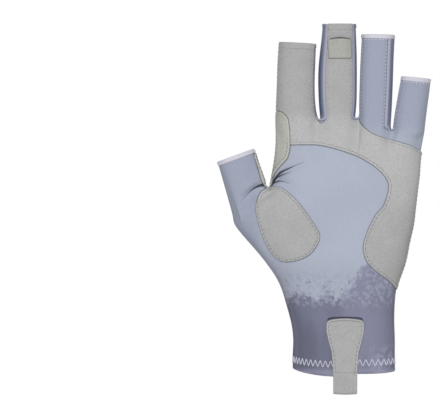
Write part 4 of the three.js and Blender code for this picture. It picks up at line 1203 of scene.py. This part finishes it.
white_tape = woven_tape("elastic binding tape, white", "#cfced9")
rim_lines = chains(*open_edges.T)
cuff_line = next(line for line, _ in rim_lines if bare_skin[line, 2].mean() < TOP_OF_CUFF)
finger_lines = [line for line, _ in rim_lines if bare_skin[line, 2].mean() > TOP_OF_CUFF]
finger_lines.sort(key=lambda line: bare_skin[line, 0].mean())
under_suede = np.setdiff1d(skin_quads[palm_parts & (parts_of > 5)], skin_quads[~palm_parts])
tape_rows, hem_rows = [], []
for name, line in zip(["thumb", "index", "middle", "ring", "little"], finger_lines):
    covered = np.isin(line, under_suede)
    looped = not covered.any()
    if not looped:
        line = np.roll(line, -np.flatnonzero(covered & ~np.roll(covered, -1))[0] - 1)
        covered = np.isin(line, under_suede)
        sewn = line[~covered]
        hem = np.concatenate([sewn[-1:], line[covered], sewn[:1]])
        rings = rim_rings(bare_skin[hem], bare_facing[hem], False, folded(HEM_PROFILE, 1.12))
        piece = swept_body(f"{name}_hem", rings, False)
        set_value(piece, "from_edge", np.full(rings.shape[0] * rings.shape[1], HEM_FROM_EDGE))
        piece.data.materials.append(grey_suede)
        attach(piece, "root")
        row_place = np.array([(HEM_FACE, -HEM_STITCH_ROWS[name])])
        row = rim_rings(bare_skin[hem], bare_facing[hem], False, row_place)[:, 0]
        hem_rows.append(stitches(row, bare_facing[hem], False))
        line = sewn[bare_facing[sewn, 1] > TAPE_END]
    rings = rim_rings(bare_skin[line], bare_facing[line], looped, folded(TAPE_PROFILE, 0.01))
    piece = swept_body(f"{name}_binding", rings, looped)
    piece.data.materials.append(white_tape)
    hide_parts(f"binding_{name}")
    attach(piece, "root")
    row = rim_rings(bare_skin[line], bare_facing[line], looped, np.array([TAPE_ROW]))[:, 0]
    tape_rows.append(stitches(row, bare_facing[line], looped, *TAPE_STITCH))
thread_piece("binding_stitches", tape_rows, pale_thread)
thread_piece("hem_stitches", hem_rows, grey_thread)


# The cuff: the cloth is turned up inside by a good centimetre, and one row of white zigzag holds the raw edge
# down all the way round, so that the cuff still stretches over the hand.
HEM_OUTSIDE = np.array([
    (0.05, -0.9), (0.14, -0.35), (0.12, 0.08), (-0.05, 0.42), (-0.45, 0.66), (-1.15, 0.76), (-1.8, 0.64),
    (-2.2, 0.38), (-2.36, 0), (-2.38, -1), (-2.38, -5), (-2.38, -10.2), (-2.2, -10.5),
])
HEM_INSIDE = np.array([
    (0.01, -0.9), (0.01, -0.4), (0.01, -0.05), (-0.02, 0.03), (-0.4, 0.03), (-0.8, 0.03), (-1.05, 0.03),
    (-1.15, 0), (-1.25, -0.2), (-1.3, -1), (-1.3, -5), (-1.3, -10.2), (-1.5, -10.5),
])
ZIGZAG_LOW, ZIGZAG_HIGH = 4.6, 8.6
ZIGZAG_LENGTH = 3.9
ZIGZAG_CLOSER = 0.2
ZIGZAG_RADIUS = 0.24
ZIGZAG_STEPS = 12
ZIGZAG_CORNER = 0.97
ZIGZAG_FOLLOWS = 0.6
ZIGZAG_STANDS = 0.3

cuff_profile = np.concatenate([HEM_OUTSIDE, HEM_INSIDE[::-1]])
cuff_rings = rim_rings(bare_skin[cuff_line], bare_facing[cuff_line], True, cuff_profile)
cuff = swept_body("cuff_hem_turned", cuff_rings, True)
for name in ("seam", "to_suede"):
    set_value(cuff, name, np.full(len(cuff.data.vertices), float(FAR)))
cuff.data.materials.append(palm_knit)
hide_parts("cuff_hem")
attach(cuff, "root")


def settled(at, height, table, table_facing):
    """Points moved to a height over the plane of the nearest point of a surface, with its facing."""
    nearest = nearest_rows(at, table, 500)
    outward = table_facing[nearest]
    off = ((at - table[nearest]) * outward).sum(1, keepdims=True)
    return at + (height - off) * outward, outward


low_ring = bare_skin[[*cuff_line, cuff_line[0]]]
around = np.append(0, np.cumsum(np.linalg.norm(np.diff(low_ring, axis=0), axis=1)))
girth = around[-1]
waves = round(girth / ZIGZAG_LENGTH)
share = np.arange(waves * ZIGZAG_STEPS) / ZIGZAG_STEPS
swing = np.arcsin(ZIGZAG_CORNER * np.sin(2 * np.pi * share)) / np.arcsin(ZIGZAG_CORNER)
walk = share / waves * girth
closest = around[(low_ring[:, 0] + low_ring[:, 1]).argmin()]
walk -= ZIGZAG_CLOSER * girth / (2 * np.pi) * np.sin(2 * np.pi * (walk - closest) / girth)
walk %= girth
path = np.stack([np.interp(walk, around, low_ring[:, axis]) for axis in range(3)], -1)
path[:, 2] = mix(ZIGZAG_LOW, ZIGZAG_HIGH, (swing + 1) / 2) + path[:, 2] * ZIGZAG_FOLLOWS
low_cloth = skin[:, 2] < 2 * ZIGZAG_HIGH
path, outward = settled(path, ZIGZAG_RADIUS * ZIGZAG_STANDS, skin[low_cloth], skin_facing[low_cloth])
ahead = unit(np.roll(path, -1, 0) - np.roll(path, 1, 0))
turns = np.arange(6)[:, None] * np.pi / 3
beyond = unit(np.cross(ahead, outward))
rings = path[:, None] + ZIGZAG_RADIUS * (np.cos(turns) * outward[:, None] + np.sin(turns) * beyond[:, None])
white_thread = thread("textured polyester thread, white", "#dcdce8")
zigzag = swept_body("cuff_zigzag", rings, True)
zigzag.data.materials.append(white_thread)
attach(zigzag, "root")


# The wrist tab and the finger's pull loop: straps cut from the same suede. The tab lies on the cuff, is sewn
# round its edge, and goes on as a loop below the cuff to pull the glove on. The pull loop is sewn into the
# seams of the middle finger and stands off it in the middle, so that two fingers can take hold of it.
TAB_MIDDLE = 1
TAB_WIDTH = 23
TAB_HEIGHT = 34.6
TAB_DROP = 12
TAB_CROWN = 1.6
TAB_CORNER = 2.4
TAB_WIDTHS = [(-1, 0.63), (0, 0.65), (0.18, 0.66), (0.4, 0.73), (0.62, 0.91), (0.79, 1), (1, 1)]
TAB_OUT, TAB_IN = 0.65, -3.05
TAB_STATIONS = 74
TAB_TURNS = 13
TAB_INNER_STATIONS = 14
TAB_INNER_TOP = 0.8 * HEM_HEIGHT
TAB_CROWN_REACH = 14
TAB_END_HEIGHT = 0.4
TAB_ROW = 0.9
TAB_ROW_HALF = 6.2
CUFF_LINE = 2
EDGE_ROUND = 0.3


def strap_section(half_width):
    """Rounded rectangles: out and across for each half width, first along the outside, then back inside."""
    half = SUEDE / 2
    quarter = np.linspace(0, np.pi / 2, 4)
    corner_out = half - EDGE_ROUND + EDGE_ROUND * np.sin(quarter)
    corner_across = EDGE_ROUND * (1 - np.cos(quarter))
    flat = np.linspace(-1, 1, 13)[1:-1]
    reach = half_width[:, None]
    left = corner_across - reach
    across_out = np.concatenate([left, flat * (reach - EDGE_ROUND), -left[:, ::-1]], 1)
    out = np.concatenate([corner_out, np.full(len(flat), half), corner_out[::-1]])
    out = np.broadcast_to(out, across_out.shape)
    return np.concatenate([out, -out[:, ::-1]], 1), np.concatenate([across_out, across_out[:, ::-1]], 1)


def palm_side(x, z, chosen):
    """Points of the palm's side of the cloth at places across and up, and the facing there."""
    shape = x.shape
    flat, up = skin[chosen], skin_facing[chosen]
    at = np.stack([x.ravel(), z.ravel()], -1)
    nearest = nearest_rows(at, flat[:, [0, 2]], 500)
    start, outward = flat[nearest], up[nearest]
    slope = ((at - start[:, [0, 2]]) * outward[:, [0, 2]]).sum(1) / outward[:, 1]
    points = np.stack([at[:, 0], start[:, 1] - slope, at[:, 1]], -1)
    return points.reshape(*shape, 3), outward.reshape(*shape, 3)


bend = (TAB_OUT - TAB_IN) / 2
bend_z = bend + SUEDE / 2 - TAB_DROP
corner_steps = TAB_CORNER * (1 - np.cos(np.linspace(0.12, np.pi / 2, 7)))
turned = np.linspace(0, np.pi, TAB_TURNS)[1:-1]
front_z = np.linspace(TAB_HEIGHT - TAB_CORNER, bend_z, TAB_STATIONS)[1:]
front_z = np.concatenate([TAB_HEIGHT - corner_steps, front_z])
inner_z = np.linspace(bend_z, TAB_INNER_TOP, TAB_INNER_STATIONS)
station_z = np.concatenate([front_z, bend_z - bend * np.sin(turned), inner_z])
tilt = np.concatenate([np.zeros(len(front_z)), turned, np.full(len(inner_z), np.pi)])
station_out = (TAB_OUT + TAB_IN) / 2 + bend * np.cos(tilt)
half_width = TAB_WIDTH / 2 * np.interp(station_z / TAB_HEIGHT, *np.array(TAB_WIDTHS).T)
below_top = np.where(tilt == 0, TAB_HEIGHT - station_z, TAB_CORNER)
into_corner = np.clip(TAB_CORNER - below_top, 0, None)
half_width -= TAB_CORNER - np.sqrt(np.clip(TAB_CORNER**2 - into_corner**2, 0, None))
out, across = strap_section(half_width)
out[0] *= TAB_END_HEIGHT
near_top = np.clip(1 - below_top / TAB_CROWN_REACH, 0, 1)[:, None]
crown = TAB_CROWN * (across / (TAB_WIDTH / 2)) ** 2 * near_top
x = TAB_MIDDLE - across
z = station_z[:, None] - crown
front_of_cuff = np.flatnonzero((skin_facing[:, 1] < -0.2) & (skin[:, 2] < 48) & (skin[:, 2] > 1))
base, outward = palm_side(x, np.maximum(z, CUFF_LINE), front_of_cuff)
base[..., 2] = z
outward = np.where(z[..., None] < CUFF_LINE, unit(outward * (1, 1, 0)), outward)
moved = station_out[:, None] + out * np.cos(tilt)[:, None]
rings = base + moved[..., None] * outward
rings[..., 2] -= out * np.sin(tilt)[:, None]
below_cuff = np.clip(-station_z / TAB_DROP, 0, 1)[:, None]
rings[..., 2] -= (1 - (across / half_width[:, None]) ** 2) * below_cuff**2
tab = swept_body("wrist_tab", rings, False)
from_top = np.where(tilt == 0, TAB_HEIGHT - station_z, FAR)[:, None]
edge = np.minimum(half_width[:, None] - np.abs(across), from_top)
from_row = STITCH_INSET + np.abs(station_z[:, None] - TAB_ROW)
from_row = np.minimum(np.where(np.abs(across) < TAB_ROW_HALF, from_row, FAR), FAR)
edge = np.where(station_z[:, None] < TAB_ROW, from_row, np.minimum(edge, from_row))
set_value(tab, "from_edge", np.maximum(edge, 0.1).ravel())
tab.data.materials.append(grey_suede)
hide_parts("wrist_pull_tab")
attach(tab, "root")

# The tab's stitches: up one side, across the top and down the other, and one row just above the cuff's edge.
side_z = np.linspace(TAB_ROW, TAB_HEIGHT - 2.4, 40)
side_x = TAB_WIDTH / 2 * np.interp(side_z / TAB_HEIGHT, *np.array(TAB_WIDTHS).T) - STITCH_INSET
round_top = np.linspace(0, np.pi, 15)[1:-1]
top_x = (TAB_WIDTH / 2 - STITCH_INSET) * np.sign(np.cos(round_top)) * np.abs(np.cos(round_top)) ** 0.55
top_z = side_z[-1] + 1.4 * np.sin(round_top) ** 0.5 - 0.9 * (top_x / 11) ** 2
tab_rows = []
for row_x, row_z in [
    (np.concatenate([side_x, top_x, -side_x[::-1]]), np.concatenate([side_z, top_z, side_z[::-1]])),
    (np.linspace(-5.8, 5.8, 12), np.full(12, TAB_ROW)),
]:
    row, outward = palm_side(TAB_MIDDLE + row_x, np.maximum(row_z, CUFF_LINE), front_of_cuff)
    outward = np.where(row_z[:, None] < CUFF_LINE, unit(outward * (1, 1, 0)), outward)
    row[:, 2] = row_z
    tab_rows.append(stitches(row + (TAB_OUT + SUEDE / 2) * outward, outward, False))
thread_piece("tab_stitches", tab_rows, grey_thread)

# The pull loop goes across the finger, from seam to seam.
LOOP_BAND = 11.4
LOOP_RISE = 2
LOOP_ARCH = 0.9
LOOP_PLACE = 0.738
LOOP_LOW = 0.75
LOOP_END = 0.06
middle_length = FINGERS["middle"][0]
middle_rings = fingers["middle"]
seam_left, seam_right = (
    [np.interp(LOOP_PLACE, ring_shares(middle_length), middle_rings[:, corner, axis]) for axis in (0, 2)]
    for corner in (0, 4)
)
share = np.linspace(0, 1, 33)
loop_x = mix(seam_left[0] + 0.9, seam_right[0] - 0.9, share)
arch = np.sin(np.pi * share)
loop_z = mix(seam_left[1], seam_right[1], share) + LOOP_ARCH / 2 * arch
out, across = strap_section(LOOP_BAND / 2 + LOOP_ARCH / 2 * arch)
on_middle = np.isin(np.arange(len(skin)), skin_quads[parts_of == 7])
front_of_middle = np.flatnonzero((skin_facing[:, 1] < -0.2) & on_middle)
base, outward = palm_side(loop_x[:, None] + 0 * across, loop_z[:, None] - across, front_of_middle)
from_end = np.clip(np.minimum(share, 1 - share) / LOOP_END, 0, 1)
rise = LOOP_LOW + (SUEDE + SUEDE_LIFT) * from_end**0.7
towards_top = np.clip(0.5 - across / LOOP_BAND, 0, 1)
lift = rise[:, None] + LOOP_RISE * arch[:, None] ** 0.7 * mix(0.15, 1, towards_top)
rings = base + (lift + out)[..., None] * outward
loop = swept_body("pull_loop", rings, False)
set_value(loop, "from_edge", np.clip(LOOP_BAND / 2 - np.abs(across), 0.1, None).ravel() * 9)
loop.data.materials.append(beige_suede)
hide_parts("finger_pull_loop")
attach(loop, "root")


# The studio: a pale floor well below, a white surround, one large soft lamp in front and one from above. The
# camera looks straight at the palm, and the glove stands right of the middle of its view.
CAMERA_DISTANCE = 2000
CAMERA_HEIGHT = 104.9
VIEW_MIDDLE = -77.8
VIEW_WIDTH = 440 * 0.63
FLOOR_LEVEL = -450
FLOOR_HALF = 1500
SENSOR = 36.0

floor = new_mesh("floor", np.array([
    [-FLOOR_HALF, -FLOOR_HALF, FLOOR_LEVEL], [FLOOR_HALF, -FLOOR_HALF, FLOOR_LEVEL],
    [FLOOR_HALF, FLOOR_HALF, FLOOR_LEVEL], [-FLOOR_HALF, FLOOR_HALF, FLOOR_LEVEL],
]), np.array([[0, 1, 2, 3]]))
floor_paint, _, floor_shader = new_material("matt floor paint", 0.9, 0.0, "#ffffff")
floor_shader.inputs["Base Color"].default_value = linear("#e9e9ea")
floor.data.materials.append(floor_paint)

world = bpy.data.worlds.new("studio")
world.use_nodes = True
surround = world.node_tree.nodes["Background"]
surround.inputs["Color"].default_value = (1.0, 1.0, 1.0, 1.0)
camera_sees = add_node(world.node_tree, "LightPath").outputs["Is Camera Ray"]
strength = add_node(world.node_tree, "MapRange", {0: camera_sees, 3: 0.3, 4: 1.0})
world.node_tree.links.new(strength.outputs[0], surround.inputs["Strength"])
scene.world = world


def softbox(name, place, aim, size, watts):
    """A square lamp at a place, turned to its aim, both in millimetres."""
    lamp = bpy.data.lights.new(name, "AREA")
    lamp.size = size * MM
    lamp.energy = watts
    holder = bpy.data.objects.new(name, lamp)
    scene.collection.objects.link(holder)
    holder.location = np.array(place) * MM
    direction = Vector(np.array(aim) - np.array(place))
    holder.rotation_euler = direction.to_track_quat("-Z", "Y").to_euler()
    return holder


softbox("front lamp", (-100, -1950, 900), (0, 0, 105), 1200, 31.5)
softbox("back lamp", (300, 1800, 1000), (0, 0, 105), 1200, 25)

camera_data = bpy.data.cameras.new("camera")
camera_data.sensor_width = SENSOR
turn = np.arctan2(-VIEW_MIDDLE, CAMERA_DISTANCE)
camera_data.lens = SENSOR * CAMERA_DISTANCE / np.cos(turn) / VIEW_WIDTH
camera = bpy.data.objects.new("camera", camera_data)
scene.collection.objects.link(camera)
camera.location = Vector((0, -CAMERA_DISTANCE, CAMERA_HEIGHT)) * MM
camera.rotation_euler = (np.pi / 2, 0, turn)
scene.camera = camera
